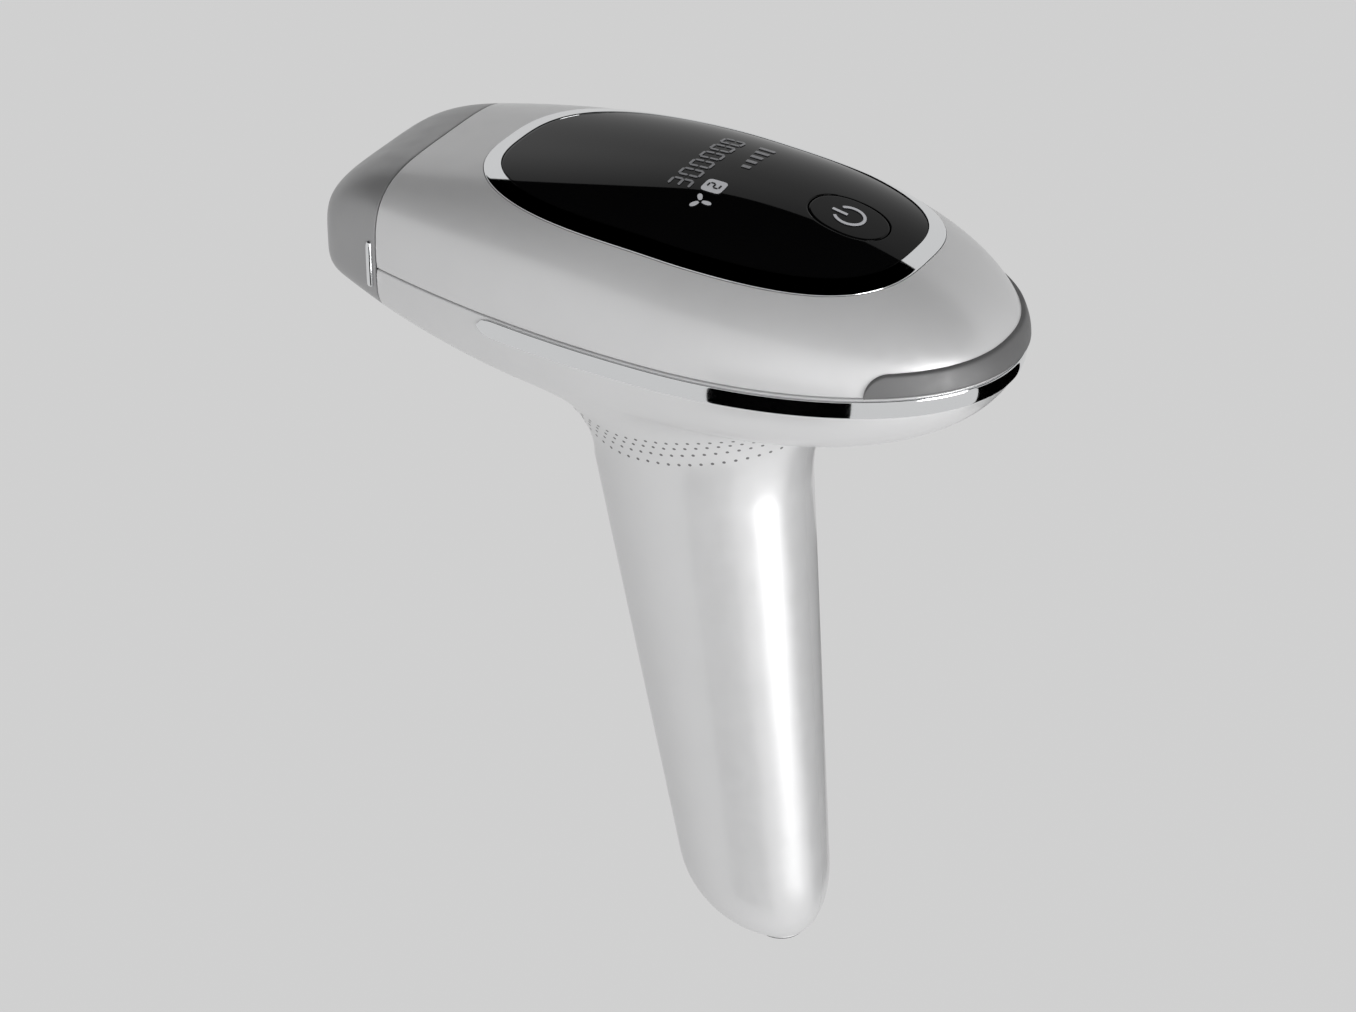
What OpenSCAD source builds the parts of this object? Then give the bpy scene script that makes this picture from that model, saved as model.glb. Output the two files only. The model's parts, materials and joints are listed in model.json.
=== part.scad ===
// Hand-held flash hair remover: a long egg-shaped head on a leaning grip.
// The head carries a removable lamp cartridge at its nose and a black display lens on top.
// Millimetres. +Z is up and the nose points to -X. The origin lies on the grip's axis, rim_z below
// the parting plane that divides the head into its upper cover and its lower bowl.

/* [Head] */
// Height of the parting plane above the origin
rim_z = 80; // [78:1:84]
// Distance from the grip axis to the tail of the head
tail_x = 62.5; // [61:0.5:64]
// Distance from the grip axis to the front of the nose (negative)
nose_x = -86; // [-87:0.5:-85]
// Station of the seam between cartridge and body (negative)
seam_x = -66; // [-67:0.5:-65]
// Half of the head's largest width
half_w = 37.2; // [36.5:0.1:38]
// Height of the crown above the parting plane
crown_h = 25.7; // [25.2:0.1:27]
// Depth of the bowl below the parting plane
bowl_d = 24; // [23:0.1:25]
// Wall thickness of the housing shells
wall = 2; // [1.8:0.1:2.4]

/* [Display] */
// Half length of the bezel ring
ring_a = 47.4; // [47:0.1:48]
// Half width of the bezel ring
ring_b = 28.3; // [28:0.1:28.6]
// Width of the bezel ring's band
band_w = 3.4; // [3:0.1:4]
// Half length of the power button
button_a = 8; // [7.5:0.1:8.5]
// Half width of the power button
button_b = 6.4; // [6:0.1:6.8]
// Travel of the power button
button_travel = 0.6; // [0.3:0.1:0.8]

/* [Handle] */
// Depth of the handle's root below the parting plane
root_d = 41; // [40:1:43]
// Depth of the handle's foot below the parting plane
foot_d = 154; // [152:1:156]
// Lean of the handle from the vertical
lean = 7.92; // [7.6:0.01:8.2]
// Travel of the flash trigger
trigger_travel = 1; // [0.6:0.1:1.2]

/* [Cooling and lamp] */
// Side of the square cooling fan
fan_side = 30; // [28:0.5:31]
// Radius of the flash tube
tube_r = 2.2; // [2:0.1:2.5]

/* [Inlet] */
// Radius of the recess that takes the plug's sleeve
inlet_mouth_r = 4; // [3.8:0.1:4.2]
// Depth of that recess
inlet_mouth_l = 3; // [2.5:0.5:3.5]
// Radius of the contact bore
inlet_bore_r = 2.85; // [2.8:0.05:2.9]
// Radius of the centre pin
inlet_pin_r = 1.05; // [1:0.05:1.1]

/* [Hidden] */

// Stations of the head's widest, highest and deepest sections
wide_x = 1.5;
crown_x = -4;
deep_x = -2;

// Superellipse exponents of the tail, in plan and in the two profiles
tail_p = 2.07;
crown_p = 1.86;
bowl_p = 2.2;

// How much the head narrows and flattens towards the nose, over the run to taper_x
taper_x = -71.1;
nose_narrow = 11;
nose_drop = 8.3;
nose_rise = 12.5;
// Power of the plan outline's station on the nose side
nose_spread = 1.3;

// Half of the gap at the parting plane and the seam, and the fitting clearance
gap = 0.25;
clear = 0.15;

// Bezel, lens and button places
ring_x = -3.9;
ring_p = 2.65;
lens_a = ring_a - band_w;
lens_b = ring_b - band_w;
button_x = 26.4;
lens_t = 1.6;

// Grid resolution of the shells
side_cols = 25;
nose_cols = 8;
step = 0.05;

pearl = [0.80, 0.80, 0.81];
silver = [0.85, 0.86, 0.88];
gloss_black = [0.02, 0.02, 0.025];
nose_grey = [0.56, 0.56, 0.57];
board_green = [0.10, 0.32, 0.20];
dark_plastic = [0.16, 0.16, 0.17];
ivory = [0.86, 0.84, 0.76];
copper = [0.72, 0.43, 0.26];

// ---------- Head surfaces, measured from the parting plane ----------

function root(v, p) = pow(max(0, v), 1 / p);
function spow(v, e) = sign(v) * pow(abs(v), e);

// Rounding of a profile over the last stretch before the nose
function nose_round(x, len, p) = x > nose_x + len ? 1 : root(1 - pow((nose_x + len - x) / len, p), p);

function half_width(x) = x > wide_x
    ? half_w * root(1 - pow((x - wide_x) / (tail_x - wide_x), tail_p), tail_p)
    : (half_w - nose_narrow * pow((wide_x - x) / (wide_x - taper_x), 2)) * nose_round(x, 10, 3);

function crown(x) = x > crown_x
    ? crown_h * root(1 - pow((x - crown_x) / (tail_x - crown_x), crown_p), crown_p)
    : (crown_h - nose_drop * pow((crown_x - x) / (crown_x - taper_x), 1.6)) * nose_round(x, 20, 2.7);

function depth(x) = x > deep_x
    ? bowl_d * root(1 - pow((x - deep_x) / (tail_x - deep_x), bowl_p), bowl_p)
    : (bowl_d - nose_rise * pow((deep_x - x) / (deep_x - taper_x), 1.5)) * nose_round(x, 5, 2.5);

// The cross-section is nearly round at the tail and boxy at the nose
function section_p(x) = 2.26 + 1.67 * min(1, max(0, x / seam_x));

function side_fall(x, y) = let (w = half_width(x), p = section_p(x))
    w < 0.001 ? 0 : root(1 - pow(min(1, abs(y) / w), p), p);

function upper_z(x, y) = crown(x) * side_fall(x, y);
function bowl_z(x, y) = -depth(x) * side_fall(x, y);

// Plan outline of the head at angle t, counted from the tail
function outline(t) = let (c = cos(t), s = sin(t), m = 2 / tail_p)
    c >= 0
    ? [wide_x + (tail_x - wide_x) * pow(c, m), half_w * spow(s, m)]
    : let (x = wide_x - (wide_x - nose_x) * pow(-c, nose_spread)) [x, sign(s) * half_width(x)];

// Angle at which the plan outline crosses the cartridge seam
seam_t = acos(-pow((wide_x - seam_x) / (wide_x - nose_x), 1 / nose_spread));

function oval(cx, a, b, p, t) = [cx + a * spow(cos(t), 2 / p), b * spow(sin(t), 2 / p)];
function ring_outline(t, grow = 0) = oval(ring_x, ring_a + grow, ring_b + grow, ring_p, t);
function lens_outline(t, grow = 0) = oval(ring_x, lens_a + grow, lens_b + grow, ring_p, t);
function button_outline(t, grow = 0) = oval(button_x, button_a + grow, button_b + grow, 2.2, t);

// A point over the upper surface, moved out along the surface's normal
function over(p, off) =
    let (z = upper_z(p[0], p[1]),
         gx = (upper_z(p[0] + step, p[1]) - z) / step,
         gy = (upper_z(p[0], p[1] + step) - upper_z(p[0], p[1] - step)) / (2 * step),
         n = [-gx, -gy, 1] / norm([gx, gy, 1]))
    [p[0], p[1], z] + off * n;

// ---------- Grids of points made into closed solids ----------

function count(g) = len(g[0]);

// Corner indices of one grid cell split into two triangles
function cell(a, b, c, d) = [[a, b, c], [a, c, d]];

function grid_faces(rows, cols, start, wrap, flip) =
    [for (i = [0:rows - 2]) for (j = [0:cols - (wrap ? 1 : 2)])
        let (k = (j + 1) % cols, a = start + i * cols + j, b = start + i * cols + k,
             c = start + (i + 1) * cols + k, d = start + (i + 1) * cols + j)
        each flip ? cell(a, d, c, b) : cell(a, b, c, d)];

function row_edge(row, cols, start, shift, wrap, flip) =
    [for (j = [0:cols - (wrap ? 1 : 2)])
        let (k = (j + 1) % cols, a = start + row * cols + j, b = start + row * cols + k)
        each flip ? cell(a, b, b + shift, a + shift) : cell(a, a + shift, b + shift, b)];

function col_edge(rows, cols, col, start, shift, flip) =
    [for (i = [0:rows - 2])
        let (a = start + i * cols + col, b = start + (i + 1) * cols + col)
        each flip ? cell(a, b, b + shift, a + shift) : cell(a, a + shift, b + shift, b)];

// A sheet with thickness between an outer and an inner grid of the same size
module thick_sheet(outer, inner, wrap = true, flip = false) {
    rows = len(outer);
    cols = count(outer);
    shift = rows * cols;
    points = [for (g = [outer, inner]) for (r = g) each r];
    faces = concat(
        grid_faces(rows, cols, 0, wrap, flip),
        grid_faces(rows, cols, shift, wrap, !flip),
        row_edge(0, cols, 0, shift, wrap, flip),
        row_edge(rows - 1, cols, 0, shift, wrap, !flip),
        wrap ? [] : col_edge(rows, cols, 0, 0, shift, !flip),
        wrap ? [] : col_edge(rows, cols, cols - 1, 0, shift, flip));
    polyhedron(points = points, faces = faces, convexity = 8);
}

function unit(v) = v / max(norm(v), 0.000001);

// The grid moved along its normals by the distance d
function offset_grid(g, d, wrap) =
    let (rows = len(g), cols = count(g))
    [for (i = [0:rows - 1]) [for (j = [0:cols - 1])
        let (jn = wrap ? (j + 1) % cols : min(j + 1, cols - 1),
             jp = wrap ? (j + cols - 1) % cols : max(j - 1, 0),
             along = g[i][jn] - g[i][jp],
             down = g[min(i + 1, rows - 1)][j] - g[max(i - 1, 0)][j])
        g[i][j] + d * unit(cross(along, down))]];

// ---------- Frames ----------

// Places head parts: their own zero is the parting plane
module in_head() translate([0, 0, rim_z]) children();

// Places handle parts: their own zero is the origin, with +Z up along the leaning handle
module in_handle() rotate([0, -lean, 0]) children();

// ---------- Upper shell ----------

// Column angles all round: both sides up to the seam, and the nose stretch between
function half_angles() = concat(
    [for (i = [0:side_cols - 1]) seam_t * i / side_cols],
    [for (i = [0:nose_cols]) seam_t + (180 - seam_t) * i / nose_cols]);

function all_angles() = let (h = half_angles())
    concat(h, [for (i = [len(h) - 2:-1:1]) 360 - h[i]]);

function mix(a, b, f) = a + (b - a) * f;

// Fraction of the way from the bezel to the outline at which the cover ends
function cover_reach(t) = let (r = ring_outline(t, clear), e = outline(t), cut = seam_x + gap)
    e[0] < cut ? (cut - r[0]) / (e[0] - r[0]) : 1;

cover_rows = 9;

function cover_grid() = [for (i = [0:cover_rows]) [for (t = all_angles())
    let (f = sin(90 * i / cover_rows) * cover_reach(t),
         p = mix(ring_outline(t, clear), outline(t), f))
    [p[0], p[1], max(gap, upper_z(p[0], p[1]))]]];

// Inner skin of the cover, kept in the plane of the outer edge at the seam
function cover_inner(g) = let (n = offset_grid(g, wall, true), last = len(g) - 1)
    [for (i = [0:last]) [for (j = [0:count(g) - 1])
        i < last ? n[i][j]
        : g[i][j][0] < seam_x + 2 * gap ? [g[i][j][0], n[i][j][1], n[i][j][2]]
        : [n[i][j][0], n[i][j][1], gap]]];

module top_cover() color(pearl) in_head() {
    grid = cover_grid();
    thick_sheet(grid, cover_inner(grid));
}

// ---------- Lower shell: bowl and handle in two halves ----------

// Half depth and half width of the handle at its root, and how much each shrinks per millimetre
root_a = 23.2;
root_b = 18.2;
taper_a = 0.07;
taper_b = 0.048;
grip_p = 2.2;

// Height of the rounded foot, its drift to the rear, and the hole that the inlet fills
foot_round = 18;
foot_shift = 6.7;
hole_r = 5.4;

function grip_x(z) = (-rim_z - z) * tan(lean);
function grip_a(z) = root_a - taper_a * (-root_d - z);
function grip_b(z) = root_b - taper_b * (-root_d - z);

// Horizontal section of the handle at height z, angle t
function grip_point(z, t) = let (p = oval(grip_x(z), grip_a(z), grip_b(z), grip_p, t)) [p[0], p[1], z];

// Width of the fillet between bowl and handle: wide in front, tight at the rear
function fillet_w(t) = 13 - 6 * cos(t) + 9 * pow(min(0, cos(t)), 2);

function bowl_point(t, f) =
    let (h = grip_point(-root_d, t), hp = [h[0], h[1]], e = outline(t), cut = seam_x + gap,
         f0 = e[0] < cut ? (cut - e[0]) / (h[0] - e[0]) : 0,
         p = mix(e, hp, f0 + (1 - f0) * f),
         reach = min(1, norm(p - hp) / fillet_w(t)),
         fall = root_d + bowl_z(h[0], h[1]))
    [p[0], p[1], min(-gap, bowl_z(p[0], p[1]) - fall * (1 - sqrt(1 - pow(1 - reach, 2))))];

bowl_rows = 13;
grip_rows = 6;
foot_rows = 6;

// Half opening of the flash trigger's slot at height z, as an angle
slot_mid = -58;
slot_len = 10.5;
slot_angle = 16;
function slot_open(z) = let (u = (z - slot_mid) / slot_len)
    abs(u) >= 1 ? 0 : slot_angle * root(1 - pow(abs(u), 2.6), 2.6);

function grip_row(z) = [for (t = half_angles()) grip_point(z, t * (180 - slot_open(z)) / 180)];

// Rounded foot: sections shrink and drift to the rear, down to the inlet's hole
function foot_row(i) =
    let (a = 90 * i / foot_rows, drop = foot_round * pow(sin(a), 0.9), s = pow(cos(a), 0.76),
         z = -foot_d + foot_round - drop, b = hole_r / grip_a(z), k = max(s, b),
         cx = grip_x(z) + foot_shift * (1 - k))
    [for (t = half_angles())
        let (p = oval(0, grip_a(z), grip_b(z), grip_p, t),
             e = [hole_r * cos(t), hole_r * sin(t)],
             q = mix(e, p, max(0, (k - b) / (1 - b))))
        [cx + q[0], q[1], z]];

grip_top = -root_d;
grip_end = -foot_d + foot_round;

// Rows of the straight handle, close together across the trigger's slot
slot_rows = 10;
function slot_level(i, half) = slot_mid + half * cos(180 * i / slot_rows);
function grip_levels() = let (low = slot_mid - slot_len) concat(
    [mix(grip_top, slot_mid + slot_len, 0.5)],
    [for (i = [0:slot_rows]) slot_level(i, slot_len)],
    [for (i = [1:grip_rows]) mix(low, grip_end, i / grip_rows)]);

function body_grid() = concat(
    [for (i = [0:bowl_rows]) [for (t = half_angles()) bowl_point(t, (1 - cos(180 * i / bowl_rows)) / 2)]],
    [for (z = grip_levels()) grip_row(z)],
    [for (i = [1:foot_rows]) foot_row(i)]);

split_gap = 0.05;

// Inner skin: kept on the split plane, at the parting plane and at the seam
function body_inner(g) = let (n = offset_grid(g, wall, false), last = count(g) - 1, end = len(g) - 1)
    [for (i = [0:end]) [for (j = [0:last])
        let (p = n[i][j], o = g[i][j], side = j == 0 || j == last)
        i >= end - 1 ? o + [0, 0, wall] :
        [i == 0 && o[0] < seam_x + 2 * gap ? o[0] : p[0],
         side ? o[1] : max(p[1], split_gap),
         i == 0 && o[0] >= seam_x + 2 * gap ? -gap : p[2]]]];

function shift_y(g, d) = [for (r = g) [for (p = r) [p[0], max(p[1], 0) + d, p[2]]]];

module body_half() {
    grid = shift_y(body_grid(), split_gap);
    thick_sheet(grid, body_inner(grid), wrap = false);
}

module body_left() color(pearl) in_head() mirror([0, 1, 0]) body_half();
module body_right() color(pearl) in_head() body_half();

// ---------- Trim round the parting line ----------

// Point of the head's wall at height z over plan angle t, moved outward by off
function reach_in(t, z, lo, hi, n) = let (m = (lo + hi) / 2, p = outline(t) * (1 - m),
    h = z > 0 ? upper_z(p[0], p[1]) : -bowl_z(p[0], p[1]))
    n == 0 ? m : h < abs(z) ? reach_in(t, z, m, hi, n - 1) : reach_in(t, z, lo, m, n - 1);

function wall_point(t, z, off) =
    let (p = outline(t) * (1 - reach_in(t, z, 0, 0.4, 16)), d = outline(t + 0.5) - outline(t - 0.5),
         n = unit([d[1], -d[0]]))
    [p[0] + off * n[0], p[1] + off * n[1], z];

// Band along the wall between plan angles -reach and reach; ends rounded over the angle soft
module wall_band(z0, z1, reach, soft, low, high, cols, keep_low) {
    function ease(t) = let (u = max(0, abs(t) - reach + soft) / soft) max(0.12, sqrt(max(0, 1 - u * u)));
    function grid(off) = [for (i = [0:3]) [for (j = [0:cols])
        let (t = reach * (2 * j / cols - 1), base = keep_low ? z0 : (z0 + z1) / 2,
             z = base + (mix(z0, z1, i / 3) - base) * ease(t))
        wall_point(t, z, off)]];
    thick_sheet(grid(high), grid(low), wrap = false, flip = true);
}

strip_reach = 123;
strip_low = -4.4;
insert_reach = 47;
insert_top = 4.9;

module trim_strip() color(silver) in_head()
    wall_band(strip_low, -0.5, strip_reach, 3, 0.1, 0.6, 56, false);

module tail_insert() color([0.42, 0.42, 0.43]) in_head()
    wall_band(0.4, insert_top, insert_reach, 12, 0.15, 1, 26, true);

// Strip behind the parting gap, from one side of the seam round the tail to the other
module parting_gasket() {
    reach = seam_t - 6;
    cols = 48;
    function grid(off) = [for (i = [0:2]) [for (j = [0:cols])
        let (t = reach * (2 * j / cols - 1), p = outline(t), d = outline(t + 0.5) - outline(t - 0.5),
             n = unit([d[1], -d[0]]))
        [p[0] - off * n[0], p[1] - off * n[1], 2 - 2 * i]]];
    color(dark_plastic) in_head() thick_sheet(grid(wall + 1), grid(wall + 2), wrap = false);
}

// ---------- Display ----------

display_cols = 60;
function display_angles() = [for (j = [0:display_cols - 1]) 360 * j / display_cols];

band_rise = 0.5;

module display_bezel() {
    function grid(inside) = [for (i = [0:4]) [for (t = display_angles())
        over(mix(ring_outline(t), lens_outline(t, 0.1), i / 4),
             inside ? -lens_t : 0.1 + band_rise * sin(180 * i / 4))]];
    color(silver) in_head()
        thick_sheet(grid(false), grid(true), flip = true);
}

button_gap = 0.3;

module display_lens() {
    function grid(off) = [for (i = [0:5]) [for (t = display_angles())
        over(mix(button_outline(t, button_gap), lens_outline(t, -0.05), i / 5), off)]];
    color(gloss_black) in_head()
        thick_sheet(grid(0), grid(-lens_t));
}

// Grid that covers an oval without a pole
function disc_grid(n, off) = [for (i = [0:n]) [for (j = [0:n])
    let (u = 2 * i / n - 1, v = 2 * j / n - 1)
    over([button_x + button_a * u * sqrt(1 - v * v / 2), button_b * v * sqrt(1 - u * u / 2)], off)]];

module button_cap() color(gloss_black) in_head()
    thick_sheet(disc_grid(10, 0), disc_grid(10, -lens_t), wrap = false);

// The button's own axis, square to the dome at its centre
button_tilt = atan((upper_z(button_x, 0) - upper_z(button_x + step, 0)) / step);
module in_button() in_head() translate(over([button_x, 0], 0)) rotate([0, button_tilt, 0]) children();

// The stem stops short of its switch by a little more than the travel
stem_r = 1.8;
stem_l = 3.9 - button_travel;

module button_stem() color(dark_plastic) in_button()
    translate([0, 0, -lens_t - 0.15 - stem_l]) cylinder(r = stem_r, h = stem_l, $fn = 32);

// A short stroke laid on the dome from a to b
module stroke(a, b, w, low, high) {
    d = unit([b[0] - a[0], b[1] - a[1]]) * w / 2;
    side = [-d[1], d[0]];
    function grid(off) = [for (i = [0:2]) [for (j = [-1, 1])
        over(mix([a[0], a[1]], [b[0], b[1]], i / 2) + j * side, off)]];
    thick_sheet(grid(high), grid(low), wrap = false);
}

mark_low = 0.12;
mark_high = 0.24;
symbol_r = 3;
symbol_w = 0.6;

module power_symbol() {
    function ring(r, t, off) = over([button_x - r * cos(t), r * sin(t)], off);
    function grid(off) = [for (i = [0, 1]) [for (j = [0:20])
        ring(symbol_r + symbol_w * (0.5 - i), 38 + 284 * j / 20, off)]];
    color("white") in_head() {
        thick_sheet(grid(mark_high), grid(mark_low), wrap = false);
        stroke([button_x - symbol_r * 1.2, 0], [button_x - 0.4, 0], symbol_w, mark_low, mark_high);
    }
}

digit_x = -6.4;
digit_first_y = -8.9;
digit_pitch = 4.3;
digit_h = 4.4;
digit_w = 3;
digit_stroke = 0.5;

// Seven-segment figure read from the tail: its top is towards the nose
module figure(segments, cx, cy, h, w, s) {
    ends = [[-1, -1, -1, 1], [-1, 1, 0, 1], [0, 1, 1, 1], [1, -1, 1, 1], [0, -1, 1, -1],
            [-1, -1, 0, -1], [0, -1, 0, 1]];
    for (k = segments) let (e = ends[k], a = [cx + e[0] * h / 2, cy + e[1] * w / 2],
                            b = [cx + e[2] * h / 2, cy + e[3] * w / 2], d = unit(b - a) * s * 0.75)
        stroke(a + d, b - d, s, mark_low, mark_high);
}

three = [0, 1, 2, 3, 6];
zero = [0, 1, 2, 3, 4, 5];

module display_digits() color("white") in_head()
    for (i = [0:5])
        figure(i == 0 ? three : zero, digit_x, digit_first_y + digit_pitch * i,
               digit_h, digit_w, digit_stroke);

// Second row of marks: fan, boxed intensity figure and five growing bars
icon_x = 0.2;
fan_icon_y = -12.6;
box_icon_y = -7.1;
box_half = 2.3;
bars_x = 1;
bars_y = 3.4;
bars_pitch = 2.6;
bars_w = 0.9;

module display_bars() color("white") in_head() for (i = [0:4]) let (y = bars_y + bars_pitch * i)
    stroke([bars_x + 1.6, y], [bars_x - 0.2 - 0.4 * i, y], bars_w, mark_low, mark_high);

module display_icons() color("white") in_head() {
    for (s = [-1, 1])
        stroke([icon_x + s * box_half, box_icon_y - box_half], [icon_x + s * box_half, box_icon_y + box_half],
               0.3, mark_low, mark_high);
    figure([0, 1, 6, 4, 3], icon_x, box_icon_y, 2.4, 1.5, 0.35);
    for (k = [0:2]) let (c = [icon_x, fan_icon_y], d = [cos(120 * k), sin(120 * k)])
        stroke(c + 0.7 * d, c + 2 * d, 1.1, mark_low, mark_high);
}

board_z = 11;
board_t = 1.6;
display_board_l = 74;
display_board_w = 36;

module slab(x0, x1, w, z0, z1) translate([x0, -w / 2, z0]) cube([x1 - x0, w, z1 - z0]);

module display_board() color(board_green) in_head()
    slab(-36, -36 + display_board_l, display_board_w, board_z, board_z + board_t);

module display_module() color(dark_plastic) in_head()
    slab(-20, 10, 32, board_z + board_t + 0.05, board_z + board_t + 6);

module button_switch() color(dark_plastic) in_head() {
    translate([button_x - 1.5, 0, board_z + board_t + 0.05]) {
        translate([-3, -3, 0]) cube([6, 6, 2.6]);
        translate([0, 0, 2.6]) cylinder(r = 1.5, h = 1, $fn = 32);
    }
}

// ---------- Lamp cartridge ----------

front_x = nose_x + 2;
nose_wall = 1.8;

// Closed section of the head at station x, drawn in y and z
function section(x, inset, t) =
    let (w = half_width(x) - inset, h = (sin(t) > 0 ? crown(x) : depth(x)) - inset, k = 2 / section_p(x))
    [w * spow(cos(t), k), h * spow(sin(t), k)];

section_cols = 48;
nose_rows = 9;

module nose_shell() {
    function station(i) = mix(seam_x - gap, front_x, 1 - pow(1 - i / nose_rows, 2));
    function grid(inset) = [for (i = [0:nose_rows]) [for (j = [0:section_cols - 1])
        let (x = station(i), q = section(x, inset, 360 * j / section_cols)) [x, q[0], q[1]]]];
    color(nose_grey) in_head()
        thick_sheet(grid(0), grid(nose_wall), flip = false);
}

window_w = 22;
window_h = 10;

// Rounded rectangle in y and z
function window_point(grow, t) =
    [(window_w / 2 + grow) * spow(cos(t), 0.5), (window_h / 2 + grow) * spow(sin(t), 0.5)];

module window_frame() {
    function outer(i) = [for (j = [0:section_cols - 1])
        let (t = 360 * j / section_cols, x = front_x - 0.1 - 0.3 * i,
             q = i < 4 ? section(x, 0, t) : window_point(0.3, t)) [x, q[0], q[1]]];
    function inner(i) = [for (j = [0:section_cols - 1])
        let (t = 360 * j / section_cols, q = window_point(0, t)) [front_x - 0.1 - 0.28 * i, q[0], q[1]]];
    color(dark_plastic) in_head()
        thick_sheet([for (i = [0:4]) outer(i)], [for (i = [0:4]) inner(i)]);
}

module along_x(x0, x1) translate([x0, 0, 0]) rotate([90, 0, 90]) linear_extrude(x1 - x0) children();

module section_face(x, inset)
    polygon([for (j = [0:section_cols - 1]) section(x, inset, 360 * j / section_cols)]);

module filter_glass() color([0.75, 0.35, 0.12, 0.6]) in_head()
    along_x(front_x - 0.8, front_x + 0.6)
        polygon([for (j = [0:section_cols - 1]) window_point(-0.1, 360 * j / section_cols)]);

tube_x = nose_x + 8.5;
tube_l = 22;
cap_l = 2.5;

module across(x, z, y0, y1, r)
    translate([x, y1, z]) rotate([90, 0, 0]) cylinder(r = r, h = y1 - y0, $fn = 40);

module flash_tube() color([0.85, 0.9, 0.95, 0.5]) in_head() difference() {
    across(tube_x, 0, -tube_l / 2, tube_l / 2, tube_r);
    across(tube_x, 0, -tube_l / 2 - 1, tube_l / 2 + 1, tube_r - 0.6);
}

module tube_electrodes() color(silver) in_head()
    for (s = [0, 1]) mirror([0, s, 0]) across(tube_x, 0, tube_l / 2 + 0.05, tube_l / 2 + cap_l, tube_r - 0.4);

reflector_z = 5;
reflector_w = 17;

// Parabolic trough behind the tube, open towards the window
module reflector() {
    vertex = tube_x + 3.7;
    mouth = front_x + 1.2;
    sheet = 0.5;
    function curve(off) =
        [for (z = [-reflector_z:reflector_z]) [vertex + off - z * z / 15, z * (1 + off / reflector_z)]];
    outer = curve(sheet);
    points = concat([[mouth, -reflector_z]], curve(0), [[mouth, reflector_z], [mouth, reflector_z + sheet]],
                    [for (i = [len(outer) - 1:-1:0]) outer[i]], [[mouth, -reflector_z - sheet]]);
    color(silver) in_head()
        translate([0, reflector_w / 2, 0]) rotate([90, 0, 0]) linear_extrude(reflector_w) polygon(points);
}

module lamp_holder() color(ivory) in_head() difference() {
    union() {
        for (s = [-1, 1]) translate([tube_x - 3, s * 9.6 - 0.8, -5.5]) cube([9, 1.6, 11]);
        slab(tube_x + 5.5, tube_x + 7.5, 26, -8, 9);
    }
    across(tube_x, 0, -12, 12, tube_r + 0.1);
}

module cartridge_plate() color(nose_grey) in_head()
    along_x(seam_x - 1.9, seam_x - 0.6) section_face(seam_x - 2.4, nose_wall + 0.25);

plug_w = 20;
plug_h = 9;
plug_end = seam_x + 7;

module cartridge_plug() color(dark_plastic) in_head()
    slab(seam_x - 0.5, plug_end, plug_w, -plug_h / 2, plug_h / 2);

pin_r = 0.8;
pin_l = 4;

module pin_places() for (y = [-6, -2, 2, 6]) translate([0, y, 0]) children();

module plug_pins() color(copper) in_head() pin_places()
    translate([plug_end + 0.02, 0, 0]) rotate([0, 90, 0]) cylinder(r = pin_r, h = pin_l, $fn = 24);

module skin_sensors() color(silver) in_head() for (s = [-1, 1])
    translate([front_x - 1.75, s * 13, 0]) rotate([0, 90, 0]) cylinder(r = 0.6, h = 0.4, $fn = 24);

// Finger rib on each side of the cartridge, beside the seam, between two angles of the section
rib_low = -9;
rib_high = 5.6;

module release_ribs() {
    function rib(y) = [for (i = [0:1]) [for (j = [0:10])
        let (x = seam_x - 1 - 1.5 * i, q = section(x, 0, mix(rib_low, rib_high, j / 10)))
        [x, q[0] + y, q[1]]]];
    color(silver) in_head() for (s = [0, 1]) mirror([0, s, 0])
        thick_sheet(rib(0.7), rib(0.1), wrap = false);
}

// ---------- Lamp side of the body ----------

socket_in = 0.35;

module bulkhead() color(dark_plastic) in_head() difference() {
    along_x(seam_x + 0.6, seam_x + 2) section_face(seam_x, wall + 1);
    slab(seam_x, seam_x + 3, plug_w + 1, -plug_h / 2 - 0.5, plug_h / 2 + 0.5);
}

module lamp_socket() color(ivory) in_head() difference() {
    slab(seam_x + 2.1, seam_x + 13, plug_w + 4, -plug_h / 2 - 2, plug_h / 2 + 2);
    slab(seam_x + 1, plug_end + 0.5, plug_w + 2 * socket_in, -plug_h / 2 - socket_in, plug_h / 2 + socket_in);
    pin_places() translate([plug_end, 0, 0]) rotate([0, 90, 0]) cylinder(r = 1.5, h = 9, $fn = 24);
}

module socket_sleeves() color(copper) in_head() pin_places()
    translate([plug_end + 0.6, 0, 0]) rotate([0, 90, 0]) difference() {
        cylinder(r = 1.45, h = 5, $fn = 24);
        translate([0, 0, -0.5]) cylinder(r = pin_r + 0.1, h = 6, $fn = 24);
    }

// ---------- Cooling ----------

sink_x = seam_x + 14;
sink_l = 13;

module heat_sink() color([0.75, 0.76, 0.78]) in_head() {
    slab(sink_x, sink_x + 2.5, 30, -11, 8);
    for (i = [0:8]) translate([sink_x + 2.5, -14.5 + 3.45 * i, -11]) cube([sink_l - 2.5, 1.2, 19]);
}

module thermal_switch() color(dark_plastic) in_head()
    translate([sink_x + 4, 0, 8.1]) slab(0, 6, 8, 0, 2.4);

fan_x = sink_x + sink_l + 5;
fan_z = -4.5;
fan_l = 9;
fan_r = fan_side / 2 - 1.4;

module in_fan() in_head() translate([fan_x, 0, fan_z]) rotate([0, 90, 0]) children();

module air_duct() color(dark_plastic) in_head() difference() {
    slab(sink_x + sink_l + 0.4, fan_x - 0.2, 32, -13, 10.2);
    slab(sink_x + sink_l, fan_x, 29.6, -11.8, 9);
}

// Hub and struts that carry the motor, a little inside the frame's rear face
spider_t = 1.3;
spider_z = fan_l - spider_t - 0.2;
bush_r = 1.06;

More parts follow.
